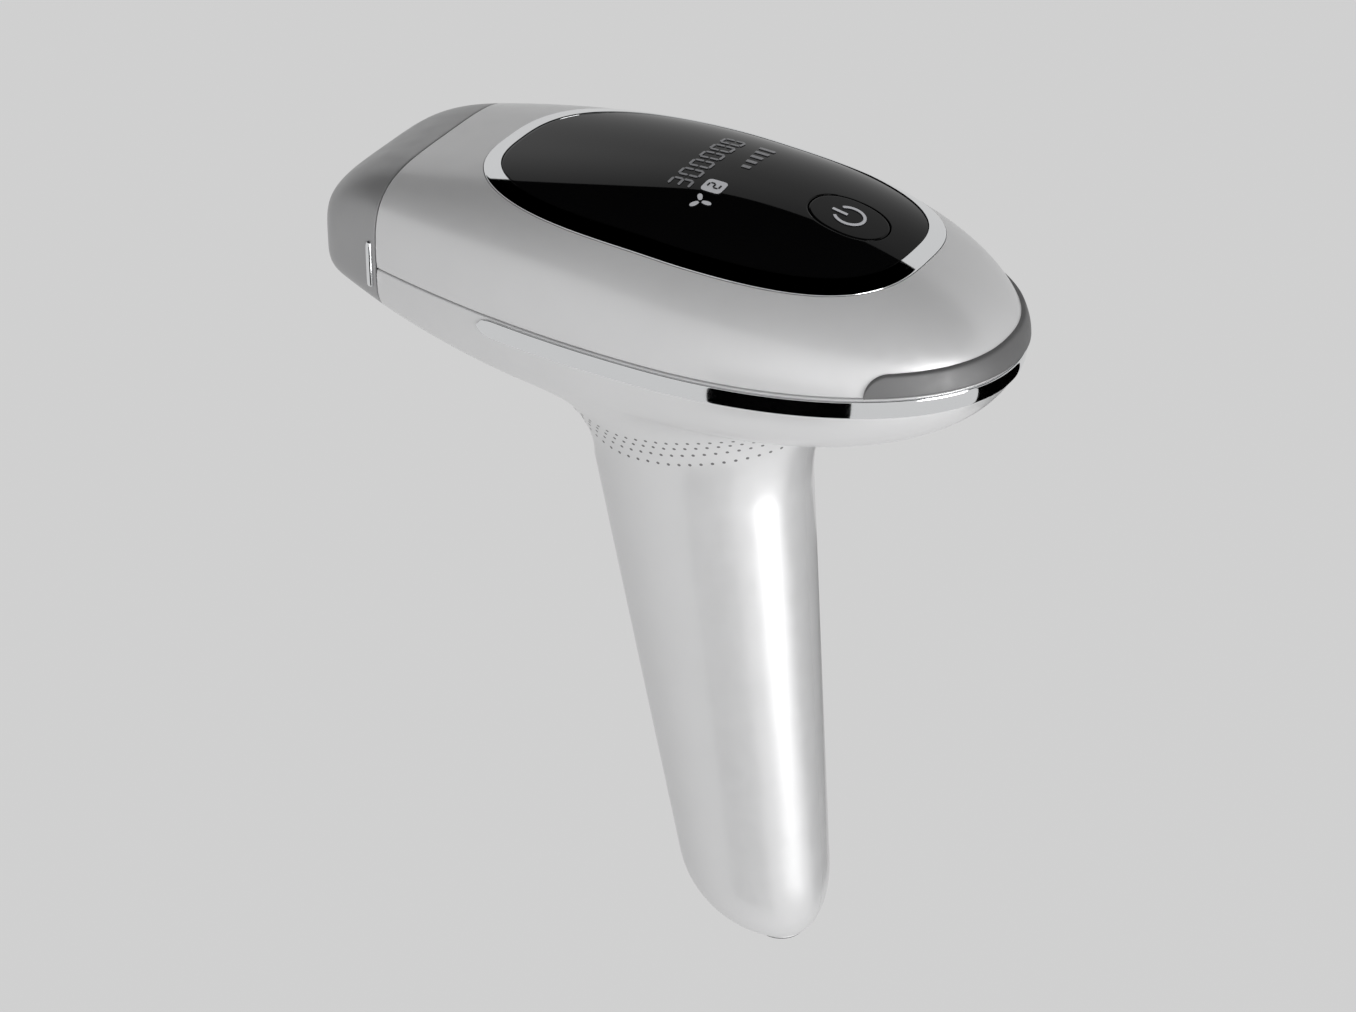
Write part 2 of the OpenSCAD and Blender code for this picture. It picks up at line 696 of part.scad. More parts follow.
module fan_frame() color(dark_plastic) in_fan() {
    difference() {
        translate([-fan_side / 2, -fan_side / 2, 0]) cube([fan_side, fan_side, fan_l]);
        translate([0, 0, -1]) cylinder(r = fan_r, h = fan_l + 2, $fn = 72);
        for (a = [0:3]) rotate([0, 0, 90 * a + 45]) translate([fan_side * 0.6, 0, -1])
            cylinder(r = 1.6, h = fan_l + 2, $fn = 24);
    }
    difference() {
        union() {
            translate([0, 0, spider_z]) cylinder(r = 6.5, h = spider_t, $fn = 48);
            for (a = [0:2]) rotate([0, 0, 120 * a]) translate([5, -0.9, spider_z + 0.1])
                cube([fan_r - 4.4, 1.8, spider_t - 0.2]);
        }
        translate([0, 0, spider_z - 1]) cylinder(r = bush_r, h = 4, $fn = 24);
    }
}

module fan_motor() color(copper) in_fan() difference() {
    translate([0, 0, 3]) cylinder(r = 4, h = spider_z - 3.05, $fn = 48);
    translate([0, 0, 2]) cylinder(r = bush_r, h = fan_l, $fn = 24);
}

blade_count = 7;

module fan_impeller() color([0.25, 0.25, 0.27]) in_fan() {
    difference() {
        translate([0, 0, 0.5]) cylinder(r = 6.2, h = 6.6, $fn = 48);
        translate([0, 0, 2]) cylinder(r = 5, h = 8, $fn = 48);
        cylinder(r = 1, h = 8, $fn = 24);
    }
    for (k = [0:blade_count - 1]) rotate([0, 0, 360 * k / blade_count]) translate([6, 0, 3.6])
        rotate([32, 0, 0]) translate([0, -3.4, -0.45]) cube([fan_r - 6.8, 6.8, 0.9]);
}

module fan_axle() color(silver) in_fan() translate([0, 0, 0.8]) cylinder(r = 1, h = fan_l - 1, $fn = 24);

// ---------- Electronics of the head ----------

main_z = -9;
main_x = fan_x + fan_l + 3;

module main_board() color(board_green) in_head() slab(main_x, 40, 44, main_z, main_z + board_t);

post_places = [[main_x + 4, -19], [main_x + 4, 19], [36, -13], [36, 13]];

module board_standoffs() color(ivory) in_head()
    for (p = post_places) translate([p[0], p[1], main_z + board_t + 0.05]) difference() {
        cylinder(r = 2.2, h = board_z - main_z - board_t - 0.1, $fn = 32);
        translate([0, 0, 4]) cylinder(r = 1, h = 30, $fn = 24);
    }

core_x = 12;

module transformer_core() color([0.3, 0.3, 0.32]) in_head() translate([core_x, 0, main_z + board_t + 0.05])
    difference() {
        translate([-9, -8, 0]) cube([18, 16, 14]);
        for (s = [-1, 1]) translate([-10, s * 4.5 - 2.25, 3]) cube([20, 4.5, 8]);
    }

module transformer_winding() color(copper) in_head() translate([core_x, 0, main_z + board_t + 3.2])
    for (s = [-1, 1]) translate([-9.5, s * 4.5 - 2.1, 0]) cube([19, 4.2, 7.6]);

module trigger_coil() color(ivory) in_head() translate([-7, -14, main_z + board_t + 0.05]) difference() {
    cylinder(r = 4.5, h = 9, $fn = 48);
    translate([0, 0, 2]) cylinder(r = 1.5, h = 9, $fn = 32);
}

module power_transistors() color(dark_plastic) in_head()
    for (s = [-1, 1]) translate([27, s * 5 - 2.3, main_z + board_t + 0.05]) cube([10 - 0.2, 4.6, 12]);

// ---------- Handle ----------

cap_top = 2;
cap_bottom = -40;
capacitor_r = 11;

module flash_capacitor() color([0.12, 0.14, 0.2]) in_handle()
    translate([0, 0, cap_bottom]) cylinder(r = capacitor_r, h = cap_top - cap_bottom, $fn = 64);

module capacitor_clips() color(ivory) in_handle()
    for (z = [cap_bottom + 3, cap_top - 9]) translate([0, 0, z]) difference() {
        cylinder(r = capacitor_r + 1.1, h = 4, $fn = 64);
        translate([0, 0, -1]) cylinder(r = capacitor_r + 0.05, h = 6, $fn = 64);
    }

// Flash trigger in the front of the handle
trigger_gap = 0.35;
trigger_rise = 0.6;
trigger_t = 2.2;

module trigger_cap() {
    half = slot_len - 3 * trigger_gap;
    function grid(deep) = [for (i = [0:slot_rows]) [for (j = [-5:5])
        let (u = -cos(180 * i / slot_rows), z = slot_mid + half * u,
             a = max(1.2, (slot_angle - 1.4) * root(1 - pow(abs(u), 2.6), 2.6) * 0.97) * j / 5,
             p = grip_point(z, 180 + a),
             rise = trigger_rise * (1 - pow(abs(u), 4)) * (1 - pow(abs(j / 5), 4)))
        [p[0] - rise + deep, p[1], p[2]]]];
    color(gloss_black) in_head()
        thick_sheet(grid(0), grid(trigger_t), wrap = false, flip = true);
}

// The plunger starts at the cap's back and stops short of the switch by more than the travel
trigger_z = rim_z + slot_mid;
trigger_front = -grip_a(slot_mid);
plunger_start = 2.35;
plunger_l = 4.6 - trigger_travel;
trigger_switch_start = 7.2;
trigger_switch_l = 3.2;

module in_trigger(start) in_handle() translate([trigger_front + start, 0, trigger_z]) children();

module trigger_plunger() color(ivory) in_trigger(plunger_start)
    rotate([0, 90, 0]) cylinder(r = 2.2, h = plunger_l, $fn = 32);

module trigger_switch() color(dark_plastic) in_trigger(trigger_switch_start)
    translate([0, -3, -3]) cube([trigger_switch_l, 6, 6]);

module trigger_board() color(board_green) in_trigger(trigger_switch_start + trigger_switch_l + 0.05)
    translate([0, -6, -9]) cube([1.2, 12, 18]);

boss_places = [[6, 14], [4, -48]];

module handle_bosses() color(pearl) in_handle() difference() {
    for (p = boss_places) across(p[0], p[1], -8.5, 8.5, 2.6);
    for (p = boss_places) across(p[0], p[1], -10, 10, 1.3);
}

module housing_screws() color(silver) in_handle()
    for (p = boss_places) {
        across(p[0], p[1], -7.5, 8.55, 1.2);
        across(p[0], p[1], 8.55, 10, 2.4);
    }

// ---------- Inlet at the foot ----------

inlet_x = grip_x(-foot_d) + foot_shift * (1 - hole_r / grip_a(-foot_d));
inlet_l = 14;

module in_inlet() in_head() translate([inlet_x, 0, -foot_d]) children();

module dc_inlet() color(dark_plastic) in_inlet() difference() {
    translate([0, 0, -0.4]) cylinder(r = hole_r - gap, h = inlet_l, $fn = 64);
    translate([0, 0, -1]) cylinder(r = inlet_mouth_r, h = inlet_mouth_l + 0.6, $fn = 64);
    translate([0, 0, -1]) cylinder(r = inlet_bore_r, h = inlet_l - 1.4, $fn = 64);
    translate([0, 0, -1]) cylinder(r = inlet_pin_r, h = inlet_l + 2, $fn = 48);
}

module inlet_pin() color(silver) in_inlet()
    translate([0, 0, inlet_mouth_l + 0.6]) cylinder(r = inlet_pin_r, h = inlet_l - inlet_mouth_l, $fn = 48);

module inlet_board() color(board_green) in_inlet()
    translate([-8, -6, inlet_l + 1.2]) cube([12, 12, 1.2]);

// ---------- Wires ----------

// Tube swept along a list of points
module wire(path, r) {
    n = len(path);
    sides = 8;
    function dir(i) = unit(path[min(n - 1, i + 1)] - path[max(0, i - 1)]);
    function ring(i) = let (d = dir(i), a = unit(cross(d, [0.12, 1, 0.03])), b = cross(d, a))
        [for (k = [0:sides - 1]) path[i] + r * (cos(360 * k / sides) * a + sin(360 * k / sides) * b)];
    points = concat([for (i = [0:n - 1]) each ring(i)]);
    sides_f = [for (i = [0:n - 2]) for (k = [0:sides - 1]) let (m = (k + 1) % sides)
        each [[i * sides + k, (i + 1) * sides + m, i * sides + m],
              [i * sides + k, (i + 1) * sides + k, (i + 1) * sides + m]]];
    ends = [[for (k = [0:sides - 1]) k], [for (k = [sides - 1:-1:0]) (n - 1) * sides + k]];
    polyhedron(points = points, faces = concat(sides_f, ends), convexity = 4);
}

// Smooth route through control points
function route(c, n = 4) = [for (i = [0:len(c) - 2]) for (j = [0:i == len(c) - 2 ? n : n - 1])
    let (a = c[max(0, i - 1)], b = c[i], d = c[i + 1], e = c[min(len(c) - 1, i + 2)], u = j / n)
    0.5 * (2 * b + (d - a) * u + (2 * a - 5 * b + 4 * d - e) * u * u + (3 * b - a - 3 * d + e) * u * u * u)];

wire_r = 0.9;

module lamp_wires() color([0.7, 0.1, 0.1]) in_head() for (s = [-1, 1])
    wire(route([[-58, s * 13.2, 3], [-54, s * 16.5, 3], [-45, s * 18.5, 3], [-34, s * 18, 1],
                [-24, s * 17.5, -1], [-18, s * 14, -4], [-15.5, s * 12, main_z + board_t + 1.2]]), wire_r);

module supply_wires() color([0.1, 0.1, 0.1]) in_handle() for (s = [-1, 1])
    wire(route([[5, s * 3, -54], [8, s * 3.5, -51.5], [12, s * 3.5, -45], [13.6, s * 3.5, -36],
                [14.4, s * 3.5, -20], [14.4, s * 3.5, 0], [12.5, s * 3.5, 20], [9, s * 3.5, 42],
                [4, s * 3.5, 66]]), wire_r);

top_cover();
body_left();
body_right();
parting_gasket();
trim_strip();
tail_insert();
display_bezel();
display_lens();
display_digits();
display_bars();
display_icons();
button_cap();
button_stem();
power_symbol();
button_switch();
display_module();
display_board();
nose_shell();
window_frame();
filter_glass();
flash_tube();
tube_electrodes();
reflector();
lamp_holder();
cartridge_plate();
cartridge_plug();
plug_pins();
skin_sensors();
release_ribs();
bulkhead();
lamp_socket();
socket_sleeves();
heat_sink();
thermal_switch();
air_duct();
fan_frame();
fan_motor();
fan_impeller();
fan_axle();
main_board();
transformer_core();
transformer_winding();
trigger_coil();
power_transistors();
board_standoffs();
flash_capacitor();
capacitor_clips();
trigger_cap();
trigger_plunger();
trigger_switch();
trigger_board();
handle_bosses();
housing_screws();
dc_inlet();
inlet_pin();
inlet_board();
lamp_wires();
supply_wires();
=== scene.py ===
import json
import math

import bmesh
import bpy
import numpy as np
from mathutils import Matrix, Vector


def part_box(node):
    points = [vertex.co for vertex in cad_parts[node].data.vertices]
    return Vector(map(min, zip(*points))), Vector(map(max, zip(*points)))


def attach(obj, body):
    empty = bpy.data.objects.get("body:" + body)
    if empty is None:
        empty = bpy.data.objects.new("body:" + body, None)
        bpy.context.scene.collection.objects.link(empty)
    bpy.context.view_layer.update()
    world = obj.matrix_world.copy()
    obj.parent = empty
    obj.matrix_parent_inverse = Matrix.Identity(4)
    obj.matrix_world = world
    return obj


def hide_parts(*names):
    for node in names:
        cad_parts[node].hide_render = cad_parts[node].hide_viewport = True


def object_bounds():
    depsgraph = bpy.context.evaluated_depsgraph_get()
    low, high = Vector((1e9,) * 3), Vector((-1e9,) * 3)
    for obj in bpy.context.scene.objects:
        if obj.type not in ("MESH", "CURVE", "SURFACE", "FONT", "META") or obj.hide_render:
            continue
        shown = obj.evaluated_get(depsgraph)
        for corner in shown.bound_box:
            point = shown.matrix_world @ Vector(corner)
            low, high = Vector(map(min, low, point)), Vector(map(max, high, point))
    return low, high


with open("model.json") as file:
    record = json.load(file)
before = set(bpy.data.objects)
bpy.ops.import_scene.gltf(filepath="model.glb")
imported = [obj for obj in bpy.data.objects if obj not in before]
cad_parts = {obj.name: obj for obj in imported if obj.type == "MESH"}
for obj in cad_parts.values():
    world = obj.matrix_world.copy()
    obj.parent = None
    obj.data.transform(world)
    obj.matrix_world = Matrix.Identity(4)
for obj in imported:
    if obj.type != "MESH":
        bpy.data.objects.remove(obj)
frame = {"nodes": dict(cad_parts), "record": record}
cad_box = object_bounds()

# ---------- Sizes, in millimetres, taken from the frame where it shows them ----------

MM = 0.001
GAP = 0.25       # half of the gap that the frame keeps at the parting plane and at the seam
LINE = 0.13      # half of the gap that shows there
EDGE = 0.3       # radius of the moulded edges


def corner(node, which, axis):
    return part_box(node)[which][axis] / MM


RIM_Z = corner("top_cover", 0, 2) - GAP
TAIL_X = corner("top_cover", 1, 0)
HALF_W = corner("top_cover", 1, 1)
SEAM_X = corner("top_cover", 0, 0) - GAP
FRONT_X = corner("nose_shell", 0, 0)
NOSE_X = FRONT_X - 2
FOOT_D = RIM_Z - corner("body_left", 0, 2)
RING_X = (corner("display_bezel", 0, 0) + corner("display_bezel", 1, 0)) / 2
RING_A = (corner("display_bezel", 1, 0) - corner("display_bezel", 0, 0)) / 2 - 0.1
RING_B = corner("display_bezel", 1, 1) - 0.1
BUTTON_X = (corner("button_cap", 0, 0) + corner("button_cap", 1, 0)) / 2
BUTTON_A = (corner("button_cap", 1, 0) - corner("button_cap", 0, 0)) / 2
BUTTON_B = corner("button_cap", 1, 1)

# The head: stations of its largest sections, and the powers of its curves towards the tail
WIDE_X, CROWN_X, DEEP_X, TAPER_X = 1.5, -4, -2, -71.1
CROWN_H, BOWL_D, WALL = 25.7, 24, 2
TAIL_P, CROWN_P, BOWL_P = 2.07, 1.86, 2.2

# Towards the nose: how far each profile closes in, the power of that, then the rounding's length and power
NARROWING, CROWN_FALL, BOWL_RISE = (11, 2, 10, 3), (8.3, 1.6, 20, 2.7), (12.5, 1.5, 5, 2.5)
NOSE_SPREAD, CREST_EASE = 1.3, 0.01

# Exponent of the cross-section: at the tail, what the nose adds, and how softly that sets in
SECTION_P, SECTION_GAIN, SECTION_EASE = 2.26, 1.67, 0.06

# The display: width of the bezel, exponents of the ring's and the button's ovals, and the gaps round them
BAND_W, RING_P, BUTTON_P = 3.4, 2.65, 2.2
RING_GAP, BUTTON_GAP = 0.12, 0.22

# The handle: its root, its taper and lean, and its rounded foot
ROOT_D, ROOT_A, ROOT_B, TAPER_A, TAPER_B, GRIP_P = 41, 23.2, 18.2, 0.07, 0.048, 2.2
LEAN = math.radians(7.92)
FILLET_SIDE, FILLET_SKEW, FILLET_FRONT = 13, 6, 9
FOOT_ROUND, FOOT_SHIFT, HOLE_R, FOOT_DROP_P, FOOT_TUCK_P = 18, 6.7, 5.4, 0.9, 0.76
SLOT_MID, SLOT_LEN, SLOT_ANGLE, SLOT_P = -58, 10.5, 16, 2.6

# ---------- The head's surfaces, measured from the parting plane ----------


def root(v, p):
    return np.maximum(v, 0) ** (1 / p)


def spow(v, e):
    return np.sign(v) * np.abs(v) ** e


def nose_round(x, length, p):
    return root(1 - np.clip((NOSE_X + length - x) / length, 0, 1) ** p, p)


def profile(x, top, full, tail_p, fall, power, length, round_p):
    """Height of a profile curve that is full at x = top and closes at the tail and at the nose."""
    tail = full * root(1 - np.clip((x - top) / (TAIL_X - top), 0, 1) ** tail_p, tail_p)
    u = np.maximum(top - x, 0) / (top - TAPER_X)
    easing = u ** 2 * (u ** 2 + CREST_EASE) ** (power / 2 - 1)
    nose = (full - fall * easing) * nose_round(x, length, round_p)
    return np.where(x > top, tail, nose)


def half_width(x):
    return profile(x, WIDE_X, HALF_W, TAIL_P, *NARROWING)


def crown(x):
    return profile(x, CROWN_X, CROWN_H, CROWN_P, *CROWN_FALL)


def depth(x):
    return profile(x, DEEP_X, BOWL_D, BOWL_P, *BOWL_RISE)


def section_p(x):
    """Exponent of the cross-section: nearly round at the tail, eased into a boxy one at the nose."""
    gain = SECTION_EASE * np.log1p(np.exp(x / SEAM_X / SECTION_EASE))
    return SECTION_P + SECTION_GAIN * np.minimum(1, gain)


def side_fall(x, y):
    w = np.maximum(half_width(x), 1e-6)
    return root(1 - np.minimum(1, np.abs(y) / w) ** section_p(x), section_p(x))


def upper_z(x, y):
    return crown(x) * side_fall(x, y)


def bowl_z(x, y):
    return -depth(x) * side_fall(x, y)


def outline(t):
    """Plan outline of the head at angle t in degrees, counted from the tail."""
    c, s = np.cos(np.radians(t)), np.sin(np.radians(t))
    c, s = np.where(np.abs(c) < 1e-12, 0, c), np.where(np.abs(s) < 1e-12, 0, s)
    x = np.where(c >= 0, WIDE_X + (TAIL_X - WIDE_X) * np.maximum(c, 0) ** (2 / TAIL_P),
                 WIDE_X - (WIDE_X - NOSE_X) * np.maximum(-c, 0) ** NOSE_SPREAD)
    y = np.where(c >= 0, HALF_W * spow(s, 2 / TAIL_P), np.sign(s) * half_width(x))
    return np.stack([x, y], -1)


CUT_X = SEAM_X + LINE + EDGE
CUT_T = math.degrees(math.acos(-((WIDE_X - CUT_X) / (WIDE_X - NOSE_X)) ** (1 / NOSE_SPREAD)))


def oval(cx, a, b, p, t):
    c, s = np.cos(np.radians(t)), np.sin(np.radians(t))
    return np.stack([cx + a * spow(c, 2 / p), b * spow(s, 2 / p)], -1)


def ring_outline(t, grow=0.0):
    return oval(RING_X, RING_A + grow, RING_B + grow, RING_P, t)


def lens_outline(t, grow=0.0):
    return ring_outline(t, grow - BAND_W)


def button_outline(t, grow=0.0):
    return oval(BUTTON_X, BUTTON_A + grow, BUTTON_B + grow, BUTTON_P, t)


def over(p, off):
    """Points over the upper surface, moved out along its normal."""
    step = 0.05
    x, y = p[..., 0], p[..., 1]
    gx = (upper_z(x + step, y) - upper_z(x - step, y)) / (2 * step)
    gy = (upper_z(x, y + step) - upper_z(x, y - step)) / (2 * step)
    n = np.stack([-gx, -gy, np.ones_like(gx)], -1)
    n /= np.linalg.norm(n, axis=-1, keepdims=True)
    return np.concatenate([p, upper_z(x, y)[..., None]], -1) + n * np.asarray(off)[..., None]


def mix(a, b, f):
    return a + (b - a) * f


# ---------- Grids of points made into closed meshes ----------


def unit(v):
    return v / np.maximum(np.linalg.norm(v, axis=-1, keepdims=True), 1e-9)


def grid_normals(g, wrap):
    along = np.roll(g, -1, 1) - np.roll(g, 1, 1)
    if not wrap:
        along[:, 0], along[:, -1] = g[:, 1] - g[:, 0], g[:, -1] - g[:, -2]
    return unit(np.cross(along, np.gradient(g, axis=0)))


def finish_mesh(name, verts, faces, material, body, nodes=(), slot=None, sharp=40):
    """A mesh in head millimetres becomes a piece of the object, in the frame's metres."""
    data = bpy.data.meshes.new(name)
    place = np.asarray(verts, float) * MM + np.array([0, 0, RIM_Z * MM])
    data.from_pydata(place.tolist(), [], [list(map(int, f)) for f in faces])
    bm = bmesh.new()
    bm.from_mesh(data)
    bmesh.ops.remove_doubles(bm, verts=bm.verts, dist=1e-7)
    bmesh.ops.recalc_face_normals(bm, faces=bm.faces)
    bm.to_mesh(data)
    bm.free()
    data.shade_smooth()
    data.set_sharp_from_angle(angle=math.radians(sharp))
    piece = bpy.data.objects.new(name, data)
    bpy.context.scene.collection.objects.link(piece)
    data.materials.append(material)
    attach(piece, body)
    if nodes:
        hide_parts(*nodes)
    return piece


def cells(rows, cols, wrap, start=0):
    width = cols if wrap else cols - 1
    return [(start + i * cols + j, start + i * cols + (j + 1) % cols,
             start + (i + 1) * cols + (j + 1) % cols, start + (i + 1) * cols + j)
            for i in range(rows - 1) for j in range(width)]


def sheet_mesh(outer, inner, wrap):
    """Points and faces of a sheet with thickness between two grids of the same size."""
    rows, cols = outer.shape[:2]
    shift = rows * cols
    faces = cells(rows, cols, wrap) + cells(rows, cols, wrap, shift)
    for i in (0, rows - 1):
        for j in range(cols if wrap else cols - 1):
            a, b = i * cols + j, i * cols + (j + 1) % cols
            faces.append((a, b, b + shift, a + shift))
    if not wrap:
        for j in (0, cols - 1):
            for i in range(rows - 1):
                a, b = i * cols + j, (i + 1) * cols + j
                faces.append((a, b, b + shift, a + shift))
    return np.concatenate([outer.reshape(-1, 3), inner.reshape(-1, 3)]), faces


def joined(parts):
    """Several point and face lists as one."""
    verts, faces, start = [], [], 0
    for v, f in parts:
        verts.append(np.asarray(v))
        faces += [tuple(k + start for k in face) for face in f]
        start += len(v)
    return np.concatenate(verts), faces


# Rows of points round a rolled edge
ROLL_ROWS = 4


def rolled(edge, normal, across):
    """Rows that round off an edge: from the last row of a skin, across it and inwards."""
    return [edge - normal * EDGE * (1 - math.cos(a)) + across * EDGE * math.sin(a)
            for a in np.linspace(0, math.pi / 2, ROLL_ROWS + 1)[1:]]


# ---------- Materials ----------


def surface(name, colour, rough, metal=0.0, coat=0.0, coat_rough=0.05, vary=0.03, grain=0.02, scale=60.0,
            specular=0.5, **extra):
    """A moulded, plated or painted finish: its tone, gloss and surface vary slightly over the piece."""
    mat = bpy.data.materials.new(name)
    mat.use_nodes = True
    tree = mat.node_tree
    shader = tree.nodes["Principled BSDF"]
    coords = tree.nodes.new("ShaderNodeTexCoord")

    def noise(size, detail):
        node = tree.nodes.new("ShaderNodeTexNoise")
        node.inputs["Scale"].default_value = size
        node.inputs["Detail"].default_value = detail
        tree.links.new(coords.outputs["Object"], node.inputs["Vector"])
        return node.outputs["Fac"]

    def spread(source, low, high):
        node = tree.nodes.new("ShaderNodeMapRange")
        node.inputs["From Min"].default_value = 0.3
        node.inputs["From Max"].default_value = 0.7
        node.inputs["To Min"].default_value = low
        node.inputs["To Max"].default_value = high
        tree.links.new(source, node.inputs["Value"])
        return node.outputs["Result"]

    tone = tree.nodes.new("ShaderNodeMix")
    tone.data_type = "RGBA"
    tone.inputs[6].default_value = (*[c * (1 - vary) for c in colour], 1)
    tone.inputs[7].default_value = (*[min(1, c * (1 + vary)) for c in colour], 1)
    tree.links.new(spread(noise(scale, 3), 0, 1), tone.inputs[0])
    tree.links.new(tone.outputs[2], shader.inputs["Base Color"])
    gloss = spread(noise(scale * 4, 4), rough * 0.88, min(1, rough * 1.12 + 0.01))
    tree.links.new(gloss, shader.inputs["Roughness"])
    if grain:
        bump = tree.nodes.new("ShaderNodeBump")
        bump.inputs["Strength"].default_value = grain
        bump.inputs["Distance"].default_value = 0.00005
        tree.links.new(noise(scale * 60, 2), bump.inputs["Height"])
        tree.links.new(bump.outputs["Normal"], shader.inputs["Normal"])
    shader.inputs["Metallic"].default_value = metal
    shader.inputs["Coat Weight"].default_value = coat
    shader.inputs["Coat Roughness"].default_value = coat_rough
    shader.inputs["Specular IOR Level"].default_value = specular
    for key, value in extra.items():
        shader.inputs[key.replace("_", " ")].default_value = value
    return mat


PAINT = {
    "pearl_shell": surface("pearl_lacquer", (0.78, 0.78, 0.785), 0.34, metal=0.2, coat=0.5, coat_rough=0.14,
                           vary=0.012, grain=0.015, scale=90),
    "cartridge_grey": surface("cartridge_satin", (0.40, 0.40, 0.405), 0.38, metal=0.35, coat=0.25,
                              coat_rough=0.22, vary=0.02, grain=0.05, scale=70),
    "chrome_trim": surface("bright_chrome", (0.86, 0.87, 0.88), 0.04, metal=1, vary=0.01, grain=0, scale=50),
    "satin_grey": surface("insert_satin", (0.15, 0.15, 0.152), 0.5, vary=0.02, grain=0.12, scale=80),
    "gloss_black": surface("piano_black", (0.003, 0.003, 0.0032), 0.03, vary=0.1, grain=0, scale=40,
                           specular=0.13),
    "display_white": surface("lit_marks", (0.30, 0.30, 0.31), 0.4, vary=0.04, grain=0, scale=200,
                             Emission_Color=(0.75, 0.76, 0.8, 1), Emission_Strength=0.28),
    "dark_plastic": surface("dark_nylon", (0.035, 0.035, 0.037), 0.55, vary=0.12, grain=0.2, scale=120),
    "board_green": surface("solder_mask", (0.02, 0.10, 0.05), 0.35, vary=0.15, grain=0.1, scale=160),
    "ivory_plastic": surface("ivory_nylon", (0.60, 0.57, 0.47), 0.5, vary=0.04, grain=0.15, scale=120),
    "amber_glass": surface("amber_filter", (0.55, 0.20, 0.05), 0.05, vary=0.05, grain=0, scale=60,
                           Transmission_Weight=0.7, IOR=1.5),
    "clear_glass": surface("quartz", (0.85, 0.90, 0.93), 0.03, vary=0.02, grain=0, scale=60,
                           Transmission_Weight=0.9, IOR=1.46),
    "bright_metal": surface("machined_metal", (0.70, 0.71, 0.73), 0.28, metal=1, vary=0.06, grain=0.1,
                            scale=150),
    "copper_wire": surface("enamelled_copper", (0.60, 0.26, 0.12), 0.3, metal=1, vary=0.12, grain=0.3,
                           scale=200),
    "ferrite": surface("sintered_ferrite", (0.05, 0.05, 0.052), 0.75, vary=0.2, grain=0.4, scale=200),
    "capacitor_sleeve": surface("shrink_sleeve", (0.02, 0.025, 0.05), 0.3, vary=0.08, grain=0.08, scale=90),
    "red_wire": surface("red_insulation", (0.45, 0.02, 0.015), 0.5, vary=0.06, grain=0.1, scale=120),
    "black_wire": surface("black_insulation", (0.015, 0.015, 0.015), 0.5, vary=0.1, grain=0.1, scale=120),
}
DIM_MARKS = surface("dim_marks", (0.12, 0.12, 0.125), 0.4, vary=0.04, grain=0, scale=200,
                    Emission_Color=(0.75, 0.76, 0.8, 1), Emission_Strength=0.10)
# Grey of the vent discs: painted shade that stands for the dark inside of each vent hole
VENT_DARK = surface("vent_shadow", (0.17, 0.17, 0.172), 0.7, vary=0.1, grain=0.1, scale=150)

# ---------- Head: upper cover ----------

SIDE_COLS, NOSE_COLS, NOSE_CROWDING = 110, 60, 2.6
COVER_ROWS = 60


def half_angles():
    side = np.linspace(0, CUT_T, SIDE_COLS, endpoint=False)
    return np.concatenate([side, CUT_T + (180 - CUT_T) * np.linspace(0, 1, NOSE_COLS) ** NOSE_CROWDING])


def all_angles():
    h = half_angles()
    return np.concatenate([h, 360 - h[-2:0:-1]])


def edge_directions(e, down):
    """Which way each column's edge faces: down or up at the parting plane, forward at the seam."""
    at_seam = e[:, 0] < CUT_X - 1e-6
    return np.where(at_seam[:, None], np.array([-1.0, 0, 0]), np.array([0, 0, -1.0 if down else 1.0]))


def square_to(normal, across):
    """The edge's normals, with what points across the edge taken out."""
    return unit(normal - across * (normal * across).sum(-1, keepdims=True))


def top_cover():
    t = all_angles()
    start, end = ring_outline(t, RING_GAP), outline(t)
    run = np.minimum(end[:, 0] - start[:, 0], -1e-6)
    reach = np.where(end[:, 0] < CUT_X, (CUT_X - start[:, 0]) / run, 1.0)
    rows = [mix(start, end, (f * reach)[:, None]) for f in np.sin(np.linspace(0, math.pi / 2, COVER_ROWS))]
    grid = np.stack([np.concatenate([p, np.maximum(upper_z(*p.T), LINE + EDGE)[:, None]], -1) for p in rows])
    normal = grid_normals(grid, True)
    normal = normal * np.sign(normal[..., 2].mean())
    across = edge_directions(end, True)
    edge_normal = square_to(normal[-2], across)
    last, rim = grid[-1], ROLL_ROWS + 1
    outer = np.concatenate([grid, np.stack(rolled(last, edge_normal, across))])
    inner = outer - np.concatenate([normal[:-1], np.repeat(edge_normal[None], rim, 0)]) * WALL
    inner[-rim:] = last - edge_normal * WALL + across * np.linspace(0, EDGE, rim)[:, None, None]
    finish_mesh("cover_skin", *sheet_mesh(outer, inner, True), PAINT["pearl_shell"], "housing",
                ["top_cover"], "pearl_shell")


top_cover()

# ---------- Head and handle: lower housing in two halves ----------

# Rows of points down the lower housing
BOWL_ROWS, NECK_ROWS, SLOT_ROWS, GRIP_ROWS, FOOT_ROWS = 84, 6, 40, 44, 30


def grip_x(z):
    return (-RIM_Z - z) * math.tan(LEAN)


def grip_a(z):
    return ROOT_A - TAPER_A * (-ROOT_D - z)


def grip_b(z):
    return ROOT_B - TAPER_B * (-ROOT_D - z)


def grip_point(z, t):
    p = oval(grip_x(z), grip_a(z), grip_b(z), GRIP_P, t)
    return np.concatenate([p, np.full((len(p), 1), float(z))], -1)


def fillet_w(t):
    """Width of the fillet from the bowl into the handle: least at the tail, most towards the nose."""
    c = np.cos(np.radians(t))
    return FILLET_SIDE - FILLET_SKEW * c + FILLET_FRONT * np.minimum(0, c) ** 2


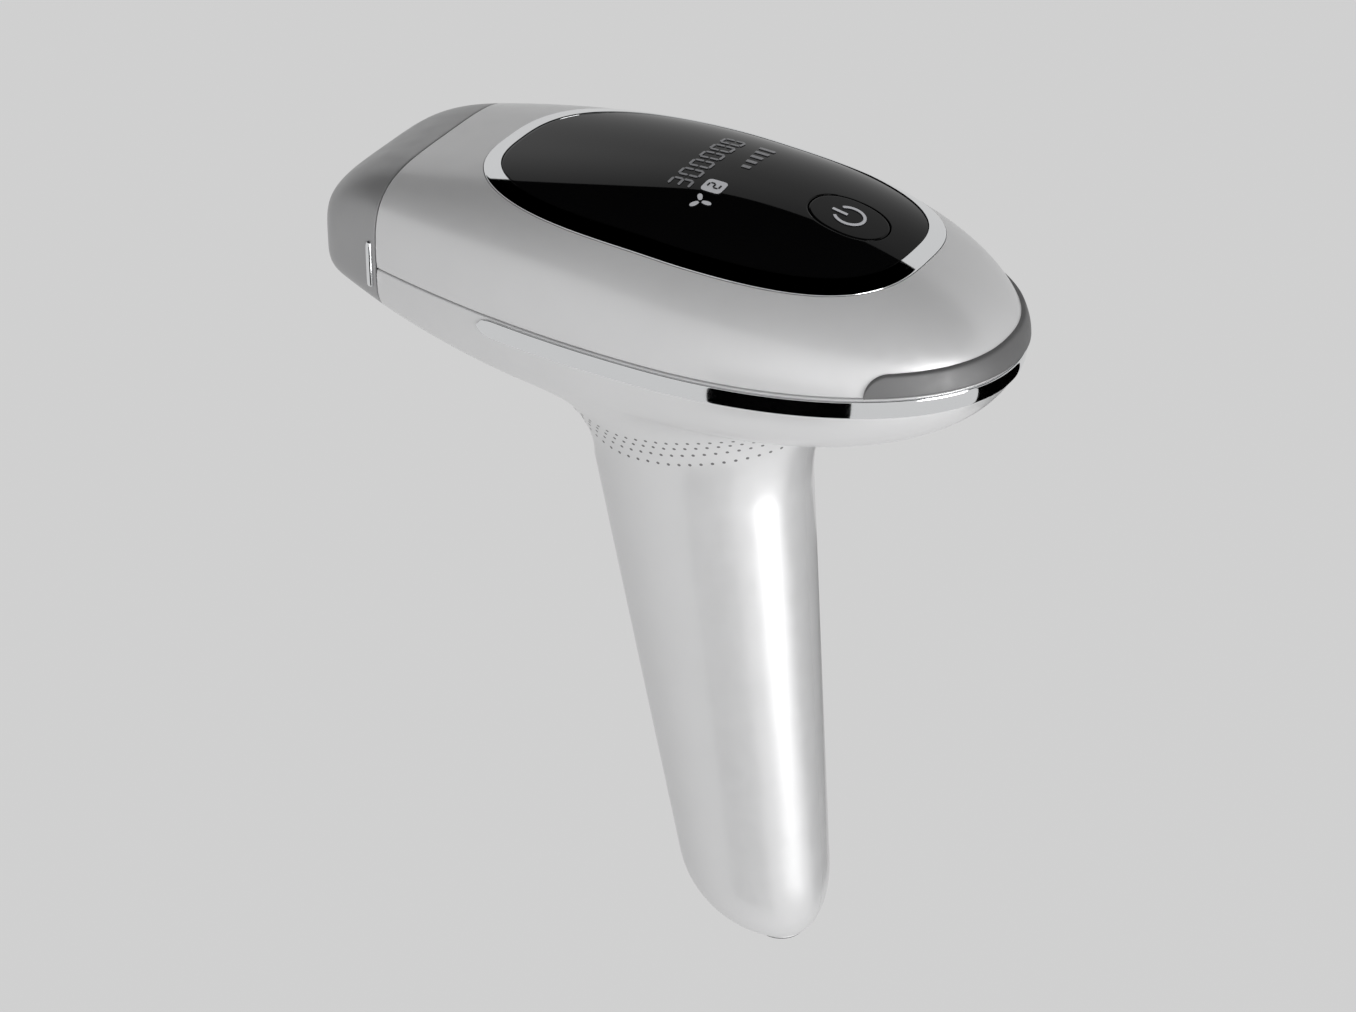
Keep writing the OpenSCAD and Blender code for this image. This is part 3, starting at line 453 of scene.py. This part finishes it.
def bowl_point(t, f, cut, rim):
    hp, e = grip_point(-ROOT_D, t)[:, :2], outline(t)
    f0 = np.where(e[:, 0] < cut, (cut - e[:, 0]) / np.maximum(hp[:, 0] - e[:, 0], 1e-6), 0)
    p = mix(e, hp, (f0 + (1 - f0) * f)[:, None])
    reach = np.minimum(1, np.linalg.norm(p - hp, axis=-1) / fillet_w(t))
    fall = ROOT_D + bowl_z(*hp.T)
    z = bowl_z(*p.T) - fall * (1 - np.sqrt(1 - (1 - reach) ** 2))
    return np.concatenate([p, np.minimum(rim, z)[:, None]], -1)


def slot_open(z):
    u = abs((z - SLOT_MID) / SLOT_LEN)
    return 0 if u >= 1 else SLOT_ANGLE * (1 - u ** SLOT_P) ** (1 / SLOT_P)


def foot_row(i, t):
    """The foot's sections shrink and drift to the rear, down to the inlet's hole."""
    a = math.pi / 2 * i / FOOT_ROWS
    z = -FOOT_D + FOOT_ROUND * (1 - math.sin(a) ** FOOT_DROP_P)
    least = HOLE_R / grip_a(z)
    k = max(math.cos(a) ** FOOT_TUCK_P if a < math.pi / 2 else 0, least)
    wide = oval(0, grip_a(z), grip_b(z), GRIP_P, t)
    narrow = HOLE_R * np.stack([np.cos(np.radians(t)), np.sin(np.radians(t))], -1)
    q = mix(narrow, wide, (k - least) / (1 - least))
    return np.concatenate([q + [grip_x(z) + FOOT_SHIFT * (1 - k), 0], np.full((len(q), 1), z)], -1)


def lower_grid():
    t = half_angles()
    bowl = [bowl_point(t, (1 - math.cos(a)) / 2, CUT_X, -LINE - EDGE)
            for a in np.linspace(0, math.pi, BOWL_ROWS)]
    low, high, end = SLOT_MID - SLOT_LEN, SLOT_MID + SLOT_LEN, -FOOT_D + FOOT_ROUND
    levels = np.concatenate([np.linspace(-ROOT_D, high, NECK_ROWS)[1:-1],
                             SLOT_MID + SLOT_LEN * np.cos(np.linspace(0, math.pi, SLOT_ROWS)),
                             np.linspace(low, end, GRIP_ROWS)[1:]])
    grip = [grip_point(z, t * (180 - slot_open(z)) / 180) for z in levels]
    foot = [foot_row(i, t) for i in range(1, FOOT_ROWS + 1)]
    return np.stack(bowl + grip + foot)


def lower_housing():
    """Two mirrored halves that leave a hairline between them down the middle of the handle."""
    hairline = 0.05
    grid = lower_grid()
    normal = grid_normals(grid, False)
    normal = normal * np.sign(normal[BOWL_ROWS:, :, 1].mean())
    across = edge_directions(outline(half_angles()), False)
    edge_normal = square_to(normal[1], across)
    rim = np.linspace(EDGE, EDGE / ROLL_ROWS, ROLL_ROWS)[:, None, None]
    outer = np.concatenate([np.stack(rolled(grid[0], edge_normal, across)[::-1]), grid])
    inner = outer - np.concatenate([np.repeat(edge_normal[None], ROLL_ROWS, 0), normal]) * WALL
    inner[:ROLL_ROWS] = grid[0] - edge_normal * WALL + across * rim
    inner[-2:] = outer[-2:] + [0, 0, WALL]
    for g in (outer, inner):
        g[..., 1] = np.maximum(g[..., 1], 0) + hairline
    for side, name in ((1, "right"), (-1, "left")):
        flip = np.array([1, side, 1])
        finish_mesh(f"housing_skin_{name}", *sheet_mesh(outer * flip, inner * flip, False),
                    PAINT["pearl_shell"], "housing", [f"body_{name}"], "pearl_shell")


lower_housing()


def vents():
    """Air vents in staggered rows where the bowl turns into the handle, as small dark discs of painted shade
    in place of open holes.
    """
    parts = []
    rows, pitch, radius, sides = 4, 2.4, 0.36, 14
    first, apart, step, turn = 0.80, 0.045, 0.004, 0.2
    sunk, proud, top, top_share = 0.25, 0.05, 0.06, 0.7
    for row in range(rows):
        f = first + apart * row
        t = np.linspace(0, 180, 400)
        line = bowl_point(t, f, SEAM_X + GAP, -GAP)
        length = np.concatenate([[0], np.cumsum(np.linalg.norm(np.diff(line, axis=0), axis=-1))])
        for s in np.arange(pitch / 2 if row % 2 else pitch, length[-1] - 1, pitch):
            angle = np.interp(s, length, t)
            near = angle + np.array([-turn, 0, turn])
            mid, low = bowl_point(near, f, SEAM_X, -GAP), bowl_point(near, f + step, SEAM_X, -GAP)
            u = unit(mid[2] - mid[0])
            n = unit(np.cross(u, low[1] - mid[1]))
            n = n if n[2] < 0 or n[1] * mid[1][1] > 0 else -n
            v = np.cross(n, u)
            for side in (1, -1):
                m = np.array([1, side, 1])
                rings = [[(mid[1] + n * h + r * (math.cos(a) * u + math.sin(a) * v)) * m
                          for a in np.linspace(0, 2 * math.pi, sides, endpoint=False)]
                         for r, h in ((radius, -sunk), (radius, proud), (radius * top_share, top))]
                verts = np.array(rings).reshape(-1, 3)
                parts.append((verts, cells(3, sides, True) + [tuple(range(2 * sides, 3 * sides))]))
    finish_mesh("air_vents", *joined(parts), VENT_DARK, "housing", slot="dark_plastic")


vents()

# ---------- Trim round the parting line ----------


def wall_point(t, z, off):
    """Points of the head's wall at heights z over plan angles t, moved outward by off."""
    furthest, halvings = 0.4, 22
    lo, hi = np.zeros_like(t), np.full_like(t, furthest)
    for _ in range(halvings):
        m = (lo + hi) / 2
        x, y = (outline(t) * (1 - m)[:, None]).T
        short = np.where(z > 0, upper_z(x, y), -bowl_z(x, y)) < np.abs(z)
        lo, hi = np.where(short, m, lo), np.where(short, hi, m)
    p, d = outline(t) * (1 - lo)[:, None], outline(t + 0.5) - outline(t - 0.5)
    n = unit(np.stack([d[:, 1], -d[:, 0]], -1))
    return np.concatenate([p + off * n, z[:, None]], -1)


def wall_band(z0, z1, reach, soft, high, keep_low, edge):
    """
    Trim laid on the head's wall between heights z0 and z1, standing out by high. It runs to the plan angle
    reach on both sides, rounds off over the last soft degrees, and may keep its lower edge straight there.
    """
    cols, rows, low, narrowest = 320, 14, 0.0, 0.05
    t = np.linspace(-reach, reach, cols)
    u = np.maximum(0, np.abs(t) - reach + soft) / soft
    ease = np.maximum(narrowest, np.sqrt(np.maximum(0, 1 - u ** 2)))
    base = z0 if keep_low else (z0 + z1) / 2

    def grid(off):
        found = []
        for k in np.linspace(0, 1, rows):
            v = (1 - math.cos(math.pi * k)) / 2
            z = base + (mix(z0, z1, v) - base) * ease
            near = min(v, 1 - v) * abs(z1 - z0)
            inset = 0 if off == low or near > edge else edge - math.sqrt(edge ** 2 - (edge - near) ** 2)
            found.append(wall_point(t, z, off - inset))
        return np.stack(found)

    return sheet_mesh(grid(high), grid(low), False)


def trim():
    """The chrome strip round the head and the grey insert above it at the tail."""
    strip = wall_band(-4.4, -0.45, reach=123, soft=3, high=0.55, keep_low=False, edge=0.14)
    finish_mesh("chrome_strip", *strip, PAINT["chrome_trim"], "housing", ["trim_strip"], "chrome_trim",
                sharp=60)
    insert = wall_band(0.35, 4.9, reach=47, soft=6, high=0.95, keep_low=True, edge=0.3)
    finish_mesh("rear_insert", *insert, PAINT["satin_grey"], "housing", ["tail_insert"], "satin_grey",
                sharp=60)


trim()

# ---------- Display ----------

DISPLAY_COLS = 360
DISPLAY_T = np.linspace(0, 360, DISPLAY_COLS, endpoint=False)


def bezel():
    """A plated ring with a flat face and a narrow rounded shoulder along its outer edge."""
    count, proud, shoulder, steepness, sunk = 17, 0.05, 0.15, 24, 1.4
    edge_a, edge_b = ring_outline(DISPLAY_T), lens_outline(DISPLAY_T, RING_GAP)
    rows = []
    for k in np.linspace(0, 1, count):
        v = (1 - math.cos(math.pi * k)) / 2
        rise = proud + shoulder * (1 - abs(min(0.0, 2 * v - 1)) ** steepness)
        rows.append(over(mix(edge_a, edge_b, v), rise))
    low = [over(mix(edge_a, edge_b, v), -sunk) for v in np.linspace(0, 1, count)]
    finish_mesh("bezel_ring", *sheet_mesh(np.stack(rows), np.stack(low), True), PAINT["chrome_trim"],
                "housing", ["display_bezel"], "chrome_trim", sharp=60)


def lens():
    """Domed black panel round the button, its rims turned down into the gaps."""
    count, rim, sunk = 41, 0.12, 1.6
    inside, outside = button_outline(DISPLAY_T, BUTTON_GAP), lens_outline(DISPLAY_T)
    rows = []
    for k in np.linspace(0, 1, count):
        v = (1 - math.cos(math.pi * k)) / 2
        p = mix(inside, outside, v)
        near = np.minimum(np.linalg.norm(p - inside, axis=-1), np.linalg.norm(p - outside, axis=-1))
        near = np.minimum(near, rim)
        rows.append(over(p, np.sqrt(rim ** 2 - (rim - near) ** 2) - rim))
    low = [over(mix(inside, outside, v), -sunk) for v in np.linspace(0, 1, count)]
    finish_mesh("lens_panel", *sheet_mesh(np.stack(rows), np.stack(low), True), PAINT["gloss_black"],
                "housing", ["display_lens"], "gloss_black", sharp=60)


def button():
    """Oval cap that carries on the dome of the lens, slightly dished, with a rounded rim."""
    count, first, rim, dish, sunk, trim_back = 28, 0.02, 0.3, 0.08, 1.55, 0.02
    centre, edge = np.full((DISPLAY_COLS, 2), [BUTTON_X, 0.0]), button_outline(DISPLAY_T, -trim_back)
    spread = np.sin(np.linspace(first, 1, count) * math.pi / 2)
    rows = []
    for v in spread:
        near = min((1 - v) * BUTTON_B, rim)
        rise = math.sqrt(rim ** 2 - (rim - near) ** 2) - rim - dish * (1 - v * v)
        rows.append(over(mix(centre, edge, v), np.full(DISPLAY_COLS, rise)))
    low = [over(mix(centre, edge, v), -sunk) for v in spread]
    verts, faces = sheet_mesh(np.stack(rows), np.stack(low), True)
    hub = len(rows) * DISPLAY_COLS
    cap = [tuple(range(DISPLAY_COLS)), tuple(range(hub, hub + DISPLAY_COLS))]
    faces = [f for f in faces if not (f[0] < DISPLAY_COLS and f[3] >= hub and f[1] < DISPLAY_COLS)]
    finish_mesh("power_cap", verts, faces + cap, PAINT["gloss_black"], "power_button", ["button_cap"],
                "gloss_black", sharp=60)


bezel()
lens()
button()

# ---------- Marks on the display ----------

MARK_LOW, MARK_HIGH = 0.08, 0.2


def plate(points):
    """A thin flat mark laid on the dome, from its outline's points."""
    p = np.asarray(points, float)
    n = len(p)
    verts = np.concatenate([over(p, MARK_HIGH), over(p, MARK_LOW)])
    sides = [(i, (i + 1) % n, n + (i + 1) % n, n + i) for i in range(n)]
    return verts, [tuple(range(n)), tuple(range(n, 2 * n))] + sides


def bar(a, b, w, point=0.5):
    """A straight segment from a to b, its ends pointed as on a segment display, or square if point is 0."""
    a, b = np.array(a, float), np.array(b, float)
    d = unit(b - a)
    side, tip = np.array([-d[1], d[0]]) * w / 2, d * w * point
    return plate([a, a + tip + side, b - tip + side, b, b - tip - side, a + tip - side] if point
                 else [a + side, b + side, b - side, a - side])


# Ends of the seven strokes, as shares of half the figure's height and width
SEGMENTS = [((-1, -1), (-1, 1)), ((-1, 1), (0, 1)), ((0, 1), (1, 1)), ((1, -1), (1, 1)), ((0, -1), (1, -1)),
            ((-1, -1), (0, -1)), ((0, -1), (0, 1))]


def figure(lit, cx, cy, h, w, stroke, gap=0.12):
    """Seven-segment figure read from the tail, its top towards the nose."""
    parts = []
    for k in lit:
        a, b = (np.array([cx + e[0] * h / 2, cy + e[1] * w / 2]) for e in SEGMENTS[k])
        d = unit(b - a) * gap
        parts.append(bar(a + d, b - d, stroke))
    return parts


def box_of(*nodes):
    lows, highs = zip(*(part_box(n) for n in nodes))
    return [min(v[i] for v in lows) / MM for i in range(3)], [max(v[i] for v in highs) / MM for i in range(3)]


def marks():
    """The counter, the level bars, the boxed figure and the fan sign, each where the frame has it."""
    three, zero, two = (0, 1, 2, 3, 6), (0, 1, 2, 3, 4, 5), (0, 1, 6, 4, 3)
    low, high = box_of("display_digits")
    height, width, stroke, margin, count = high[0] - low[0], 3.0, 0.52, 0.5, 6
    pitch = (high[1] - low[1] - width) / (count - 1)
    digits = [part for i in range(count)
              for part in figure(three if i == 0 else zero, (low[0] + high[0]) / 2,
                                 low[1] + width / 2 + pitch * i, height - margin, width - margin, stroke)]
    finish_mesh("counter_figures", *joined(digits), DIM_MARKS, "housing", ["display_digits"],
                "display_white")

    low, high = box_of("display_bars")
    bar_w, half_bar, shortest, last = 0.95, 0.45, 1.8, 4
    bars = []
    for i in range(last + 1):
        y = low[1] + half_bar + (high[1] - low[1] - 2 * half_bar) * i / last
        top = high[0] - shortest - (high[0] - low[0] - shortest) * i / last
        bars.append(bar((high[0], y), (top, y), bar_w, 0))
    finish_mesh("level_bars", *joined(bars), DIM_MARKS, "housing", ["display_bars"],
                "display_white")

    low, high = box_of("display_icons")
    cx, half, square_p, hub_r, reach, spread = (low[0] + high[0]) / 2, 2.2, 5, 0.5, 1.9, 31
    box_y, fan_y = high[1] - half, low[1] + reach
    t = np.linspace(0, 360, 48, endpoint=False)
    badge = [plate(oval(cx, half, half, square_p, t) + [0, box_y])]
    fan = []
    for k in range(3):
        steps = np.linspace(0, 1, 14)
        turns = [math.radians(120 * k + spread * (2 * u - 1)) for u in steps]
        radii = [hub_r + reach * math.sin(math.pi * u) for u in steps]
        fan.append(plate([(cx + r * math.cos(a), fan_y + r * math.sin(a)) for r, a in zip(radii, turns)]))
    finish_mesh("badge_and_fan", *joined(badge + fan), PAINT["display_white"], "housing", ["display_icons"],
                "display_white")
    two_h, two_w, two_stroke, lift = 2.5, 1.5, 0.36, 0.1
    dark = [(v + [0, 0, lift], f) for v, f in figure(two, cx, box_y, two_h, two_w, two_stroke)]
    finish_mesh("badge_figure", *joined(dark), PAINT["gloss_black"], "housing", slot="gloss_black")


def power_mark():
    """Broken ring and stroke on the button, square in section and at their ends."""
    opening, inside, outside, stem_top, stem_foot = 38, 2.68, 3.28, 3.7, 0.5
    t = np.linspace(opening, 360 - opening, 90)
    c, s = np.cos(np.radians(t)), np.sin(np.radians(t))
    grids = [np.stack([over(np.stack([BUTTON_X - r * c, r * s], -1), off) for r in (inside, outside)])
             for off in (MARK_HIGH, MARK_LOW)]
    stem = bar((BUTTON_X - stem_top, 0), (BUTTON_X - stem_foot, 0), outside - inside, 0)
    finish_mesh("power_mark", *joined([sheet_mesh(*grids, False), stem]), PAINT["display_white"],
                "power_button", ["power_symbol"], "display_white")


marks()
power_mark()

# ---------- Lamp cartridge ----------

WINDOW_W, WINDOW_H, WINDOW_P, NOSE_WALL = 22, 10, 4, 1.8
SECTION_T = np.linspace(0, 360, 288, endpoint=False)


def section(x, inset, t=SECTION_T):
    """Cross-section of the head at x, with t in degrees from the +Y side up over the crown."""
    c, s = np.cos(np.radians(t)), np.sin(np.radians(t))
    at = np.array(float(x))
    k = 2 / section_p(at)
    h = np.where(s > 0, crown(at), depth(at)) - inset
    y = (half_width(at) - inset) * spow(c, k)
    return np.stack([np.full_like(y, x), y, h * spow(s, k)], -1)


def window_point(grow, x):
    c, s = np.cos(np.radians(SECTION_T)), np.sin(np.radians(SECTION_T))
    y = (WINDOW_W / 2 + grow) * spow(c, 2 / WINDOW_P)
    z = (WINDOW_H / 2 + grow) * spow(s, 2 / WINDOW_P)
    return np.stack([np.full_like(c, x), y, z], -1)


def nose():
    """Skin of the cartridge from its rounded rim at the seam to its front edge."""
    base, rim_rows, body_rows = SEAM_X - LINE, 7, 46
    rim = [section(base - EDGE * (1 - math.cos(a)), EDGE * (1 - math.sin(a)))
           for a in np.linspace(0, 1, rim_rows) * math.pi / 2]
    body = [section(mix(base - EDGE, FRONT_X, 1 - (1 - k) ** 2), 0)
            for k in np.linspace(0, 1, body_rows)[1:]]
    outer = np.stack(rim + body)
    inner = np.stack([section(r[0, 0], NOSE_WALL) for r in outer])
    finish_mesh("nose_skin", *sheet_mesh(outer, inner, True), PAINT["cartridge_grey"], "lamp_cartridge",
                ["nose_shell"], "cartridge_grey")


def window_ring():
    """Front face of the cartridge: it turns over the nose's edge and steps in to the window."""
    count, joint, proud, turn, crowding = 26, 0.05, 1.2, 1.6, 1.4
    border, lip_r, lip_rows, thick, clear = 0.4, 0.3, 5, 0.85, 0.02
    side, flat = section(FRONT_X, 0), window_point(border, 0)
    rows = []
    for k in np.linspace(0, 1, count):
        p = mix(side, flat, k ** crowding)
        p[:, 0] = FRONT_X - joint - proud * math.sin(math.pi / 2 * min(1, k * turn))
        rows.append(p)
    lip = [window_point(border - lip_r * math.sin(a), rows[-1][0, 0] + lip_r * (1 - math.cos(a)))
           for a in np.linspace(0, math.pi / 2, lip_rows)[1:]]
    outer = np.stack(rows + lip)
    inner = outer + [thick, 0, 0]
    inner[..., 0] = np.minimum(inner[..., 0], FRONT_X - clear)
    finish_mesh("window_surround", *sheet_mesh(outer, inner, True), PAINT["cartridge_grey"], "lamp_cartridge",
                ["window_frame"], "cartridge_grey", sharp=50)


def grip_ribs():
    """A rounded finger rib on each side of the cartridge, right beside the seam."""
    parts = []
    rows, cols, low, high, middle, half = 15, 60, -9, 5.6, SEAM_X - 1.75, 0.72
    sunk, proud, bulge, bulge_p, end_p, narrowest = 0.15, 0.1, 0.6, 2.4, 8, 0.08
    for side in (1, -1):
        t = np.linspace(low, high, cols)
        along = np.linspace(0, 1, cols)
        ends = np.sqrt(np.maximum(0, 1 - np.abs(2 * along - 1) ** end_p))
        outer, inner = [], []
        for v in np.linspace(-1, 1, rows):
            x = middle + half * v * np.maximum(ends, narrowest)
            lift = proud + bulge * math.sqrt(max(0, 1 - abs(v) ** bulge_p)) * ends
            p = section(middle, 0, t)
            outer.append(np.stack([x, p[:, 1] + lift, p[:, 2]], -1) * [1, side, 1])
            inner.append(np.stack([x, p[:, 1] - sunk, p[:, 2]], -1) * [1, side, 1])
        parts.append(sheet_mesh(np.stack(outer), np.stack(inner), False))
    finish_mesh("finger_ribs", *joined(parts), PAINT["chrome_trim"], "lamp_cartridge", ["release_ribs"],
                "chrome_trim", sharp=60)


nose()
window_ring()
grip_ribs()

# ---------- Flash trigger ----------


def trigger():
    """Key in the front of the handle, crowned, its back tapered, with three shallow finger grooves."""
    rows, cols, rise, thick, taper = 70, 41, 0.6, 2.2, 0.86
    groove_d, groove_w, groove_pitch = 0.22, 0.55, 3
    half, angle, narrowest = SLOT_LEN - 0.9, (SLOT_ANGLE - 1.4) * 0.97, 1.2
    outer = []
    for u in -np.cos(np.linspace(0, math.pi, rows)):
        z = SLOT_MID + half * u
        wide = max(narrowest, angle * max(0, 1 - abs(u) ** SLOT_P) ** (1 / SLOT_P))
        v = np.linspace(-1, 1, cols)
        p = grip_point(z, 180 + wide * v)
        crest = rise * (1 - abs(u) ** 4) * (1 - np.abs(v) ** 4)
        groove = groove_d * sum(math.exp(-((z - SLOT_MID - groove_pitch * k) / groove_w) ** 2)
                                for k in (-1, 0, 1))
        p[:, 0] -= crest - groove * (1 - np.abs(v) ** 4)
        outer.append(p)
    outer = np.stack(outer)
    inner = outer * [1, taper, 1] + [thick, 0, 0]
    finish_mesh("trigger_key", *sheet_mesh(outer, inner, False), PAINT["gloss_black"],
                "flash_trigger", ["trigger_cap"], "gloss_black", sharp=50)


trigger()

# ---------- Finishes of the frame's own nodes ----------

for entry in frame["record"]["subparts"]:
    node = frame["nodes"][entry["node"]]
    node.data.materials.clear()
    node.data.materials.append(PAINT[entry["material_slot"]])
    for polygon in node.data.polygons:
        polygon.material_index = 0

# ---------- Floor, light and camera ----------


def card(obj, glow, seen):
    """Makes a mesh a glowing or black studio card that only the ray kinds in seen can meet."""
    mat = bpy.data.materials.new(obj.name)
    mat.use_nodes = True
    mat.node_tree.nodes.clear()
    out = mat.node_tree.nodes.new("ShaderNodeOutputMaterial")
    emission = mat.node_tree.nodes.new("ShaderNodeEmission")
    emission.inputs["Color"].default_value = (1, 1, 1, 1)
    emission.inputs["Strength"].default_value = glow
    mat.node_tree.links.new(emission.outputs[0], out.inputs[0])
    obj.data.materials.append(mat)
    for kind in ("camera", "diffuse", "glossy", "transmission", "shadow", "volume_scatter"):
        setattr(obj, f"visible_{kind}", kind in seen)


def panel(name, centre, target, width, height, glow, kind):
    """A flat studio panel that faces the target; only rays of the one kind can meet it."""
    data = bpy.data.meshes.new(name)
    w, h = width / 2, height / 2
    data.from_pydata([(-w, -h, 0), (w, -h, 0), (w, h, 0), (-w, h, 0)], [], [(0, 1, 2, 3)])
    obj = bpy.data.objects.new(name, data)
    bpy.context.scene.collection.objects.link(obj)
    obj.location = centre
    obj.rotation_mode = "QUATERNION"
    obj.rotation_quaternion = (Vector(target) - Vector(centre)).to_track_quat("Z", "Y")
    card(obj, glow, (kind,))


def area_light(name, position, target, width, height, power):
    """A soft light that reflections don't show."""
    data = bpy.data.lights.new(name, "AREA")
    data.shape = "RECTANGLE"
    data.size, data.size_y, data.energy = width, height, power
    obj = bpy.data.objects.new(name, data)
    bpy.context.scene.collection.objects.link(obj)
    obj.location = position
    obj.rotation_mode = "QUATERNION"
    obj.rotation_quaternion = (Vector(target) - Vector(position)).to_track_quat("-Z", "Y")
    obj.visible_glossy = False


def strip_flag(name, t0, t1):
    """Black card that the chrome strip mirrors between two plan angles, placed along the mirrored rays."""
    cols, level, span, away, half = 24, -2.4, 1.0, 420, 190
    eye = np.array(bpy.context.scene.camera.location) / MM - [0, 0, RIM_Z]
    t = np.linspace(t0, t1, cols)

    def on_strip(turn, lift):
        return wall_point(t + turn, np.full(cols, level + lift), 0.5)

    mid = on_strip(0, 0)
    along = unit(on_strip(0.5, 0) - on_strip(-0.5, 0))
    out = unit(np.cross(along, on_strip(0, span) - on_strip(0, -span)))
    out = out * np.sign((out[:, :2] * mid[:, :2]).sum(-1))[:, None]
    view = unit(eye - mid)
    ray = 2 * (view * out).sum(-1, keepdims=True) * out - view
    rise = unit(np.cross(along, ray))
    rows = np.stack([(mid + ray * away + rise * h) * MM + [0, 0, RIM_Z * MM] for h in (-half, half)])
    data = bpy.data.meshes.new(name)
    data.from_pydata(rows.reshape(-1, 3).tolist(), [], cells(2, cols, False))
    obj = bpy.data.objects.new(name, data)
    bpy.context.scene.collection.objects.link(obj)
    card(obj, 0.0, ("glossy",))


def floor():
    """Pale paper that the camera and reflections see; a dimmer panel lights the object from below."""
    data = bpy.data.meshes.new("floor")
    reach, drop = 12.0, cad_box[0].z - 0.45
    square = [(-reach, -reach), (reach, -reach), (reach, reach), (-reach, reach)]
    data.from_pydata([(x, y, drop) for x, y in square], [], [(0, 1, 2, 3)])
    obj = bpy.data.objects.new("floor", data)
    bpy.context.scene.collection.objects.link(obj)
    data.materials.append(surface("floor_paper", (0.03, 0.03, 0.03), 0.9, vary=0.0, grain=0, specular=0.0,
                                  Emission_Color=(1, 1, 1, 1), Emission_Strength=0.62))
    obj.visible_diffuse = False
    panel("dim_floor", Vector((0, 0, drop + 0.02)), Vector((0, 0, 0)), reach, reach, 0.36, "diffuse")


head = Vector((0, 0, RIM_Z * MM))


def camera():
    azimuth, elevation, roll = math.radians(28.8), math.radians(31.3), math.radians(0.2)
    distance, shift_right, shift_up = 0.753, -0.01022, -0.0438
    back = Vector((math.sin(azimuth) * math.cos(elevation), -math.cos(azimuth) * math.cos(elevation),
                   math.sin(elevation)))
    right = Vector((math.cos(azimuth), math.sin(azimuth), 0))
    up = back.cross(right)
    right, up = right * math.cos(roll) + up * math.sin(roll), up * math.cos(roll) - right * math.sin(roll)
    data = bpy.data.cameras.new("camera")
    data.sensor_width, data.lens = 36, 100
    data.clip_start, data.clip_end = 0.05, 60
    obj = bpy.data.objects.new("camera", data)
    bpy.context.scene.collection.objects.link(obj)
    place = head + right * shift_right + up * shift_up + back * distance
    turn = Matrix((right, up, back)).transposed().to_4x4()
    obj.matrix_world = Matrix.Translation(place) @ turn
    bpy.context.scene.camera = obj


camera()
floor()
strip_flag("strip_card_side", -78, -49.5)
strip_flag("strip_card_tail", -17, 3)
neck = head + Vector((0, 0, -0.06))
area_light("front_softbox", head + Vector((0.75, -1.4, -0.15)), neck, 1.4, 1.1, 10)
area_light("right_softbox", head + Vector((1.5, -0.5, -0.1)), neck, 0.5, 1.4, 7)
panel("handle_softbox", head + Vector((1.1, -0.30, -0.35)), head + Vector((0, 0, -0.1)), 0.6, 1.5, 8.0,
      "glossy")
panel("left_flag", head + Vector((-1.5, -0.9, -0.5)), head, 2.2, 2.4, 0.12, "diffuse")
CEILING = (head + Vector((0, -0.35, 1.3)), head + Vector((0, -0.35, 0)), 7.0, 3.4)
panel("dark_ceiling", *CEILING, 0.0, "glossy")
panel("dim_ceiling", *CEILING, 0.26, "diffuse")

world = bpy.data.worlds.new("studio")
bpy.context.scene.world = world
world.use_nodes = True
world.node_tree.nodes["Background"].inputs["Color"].default_value = (1, 1, 1, 1)
world.node_tree.nodes["Background"].inputs["Strength"].default_value = 0.64
bpy.context.scene.view_settings.view_transform = "Standard"


bpy.context.view_layer.update()
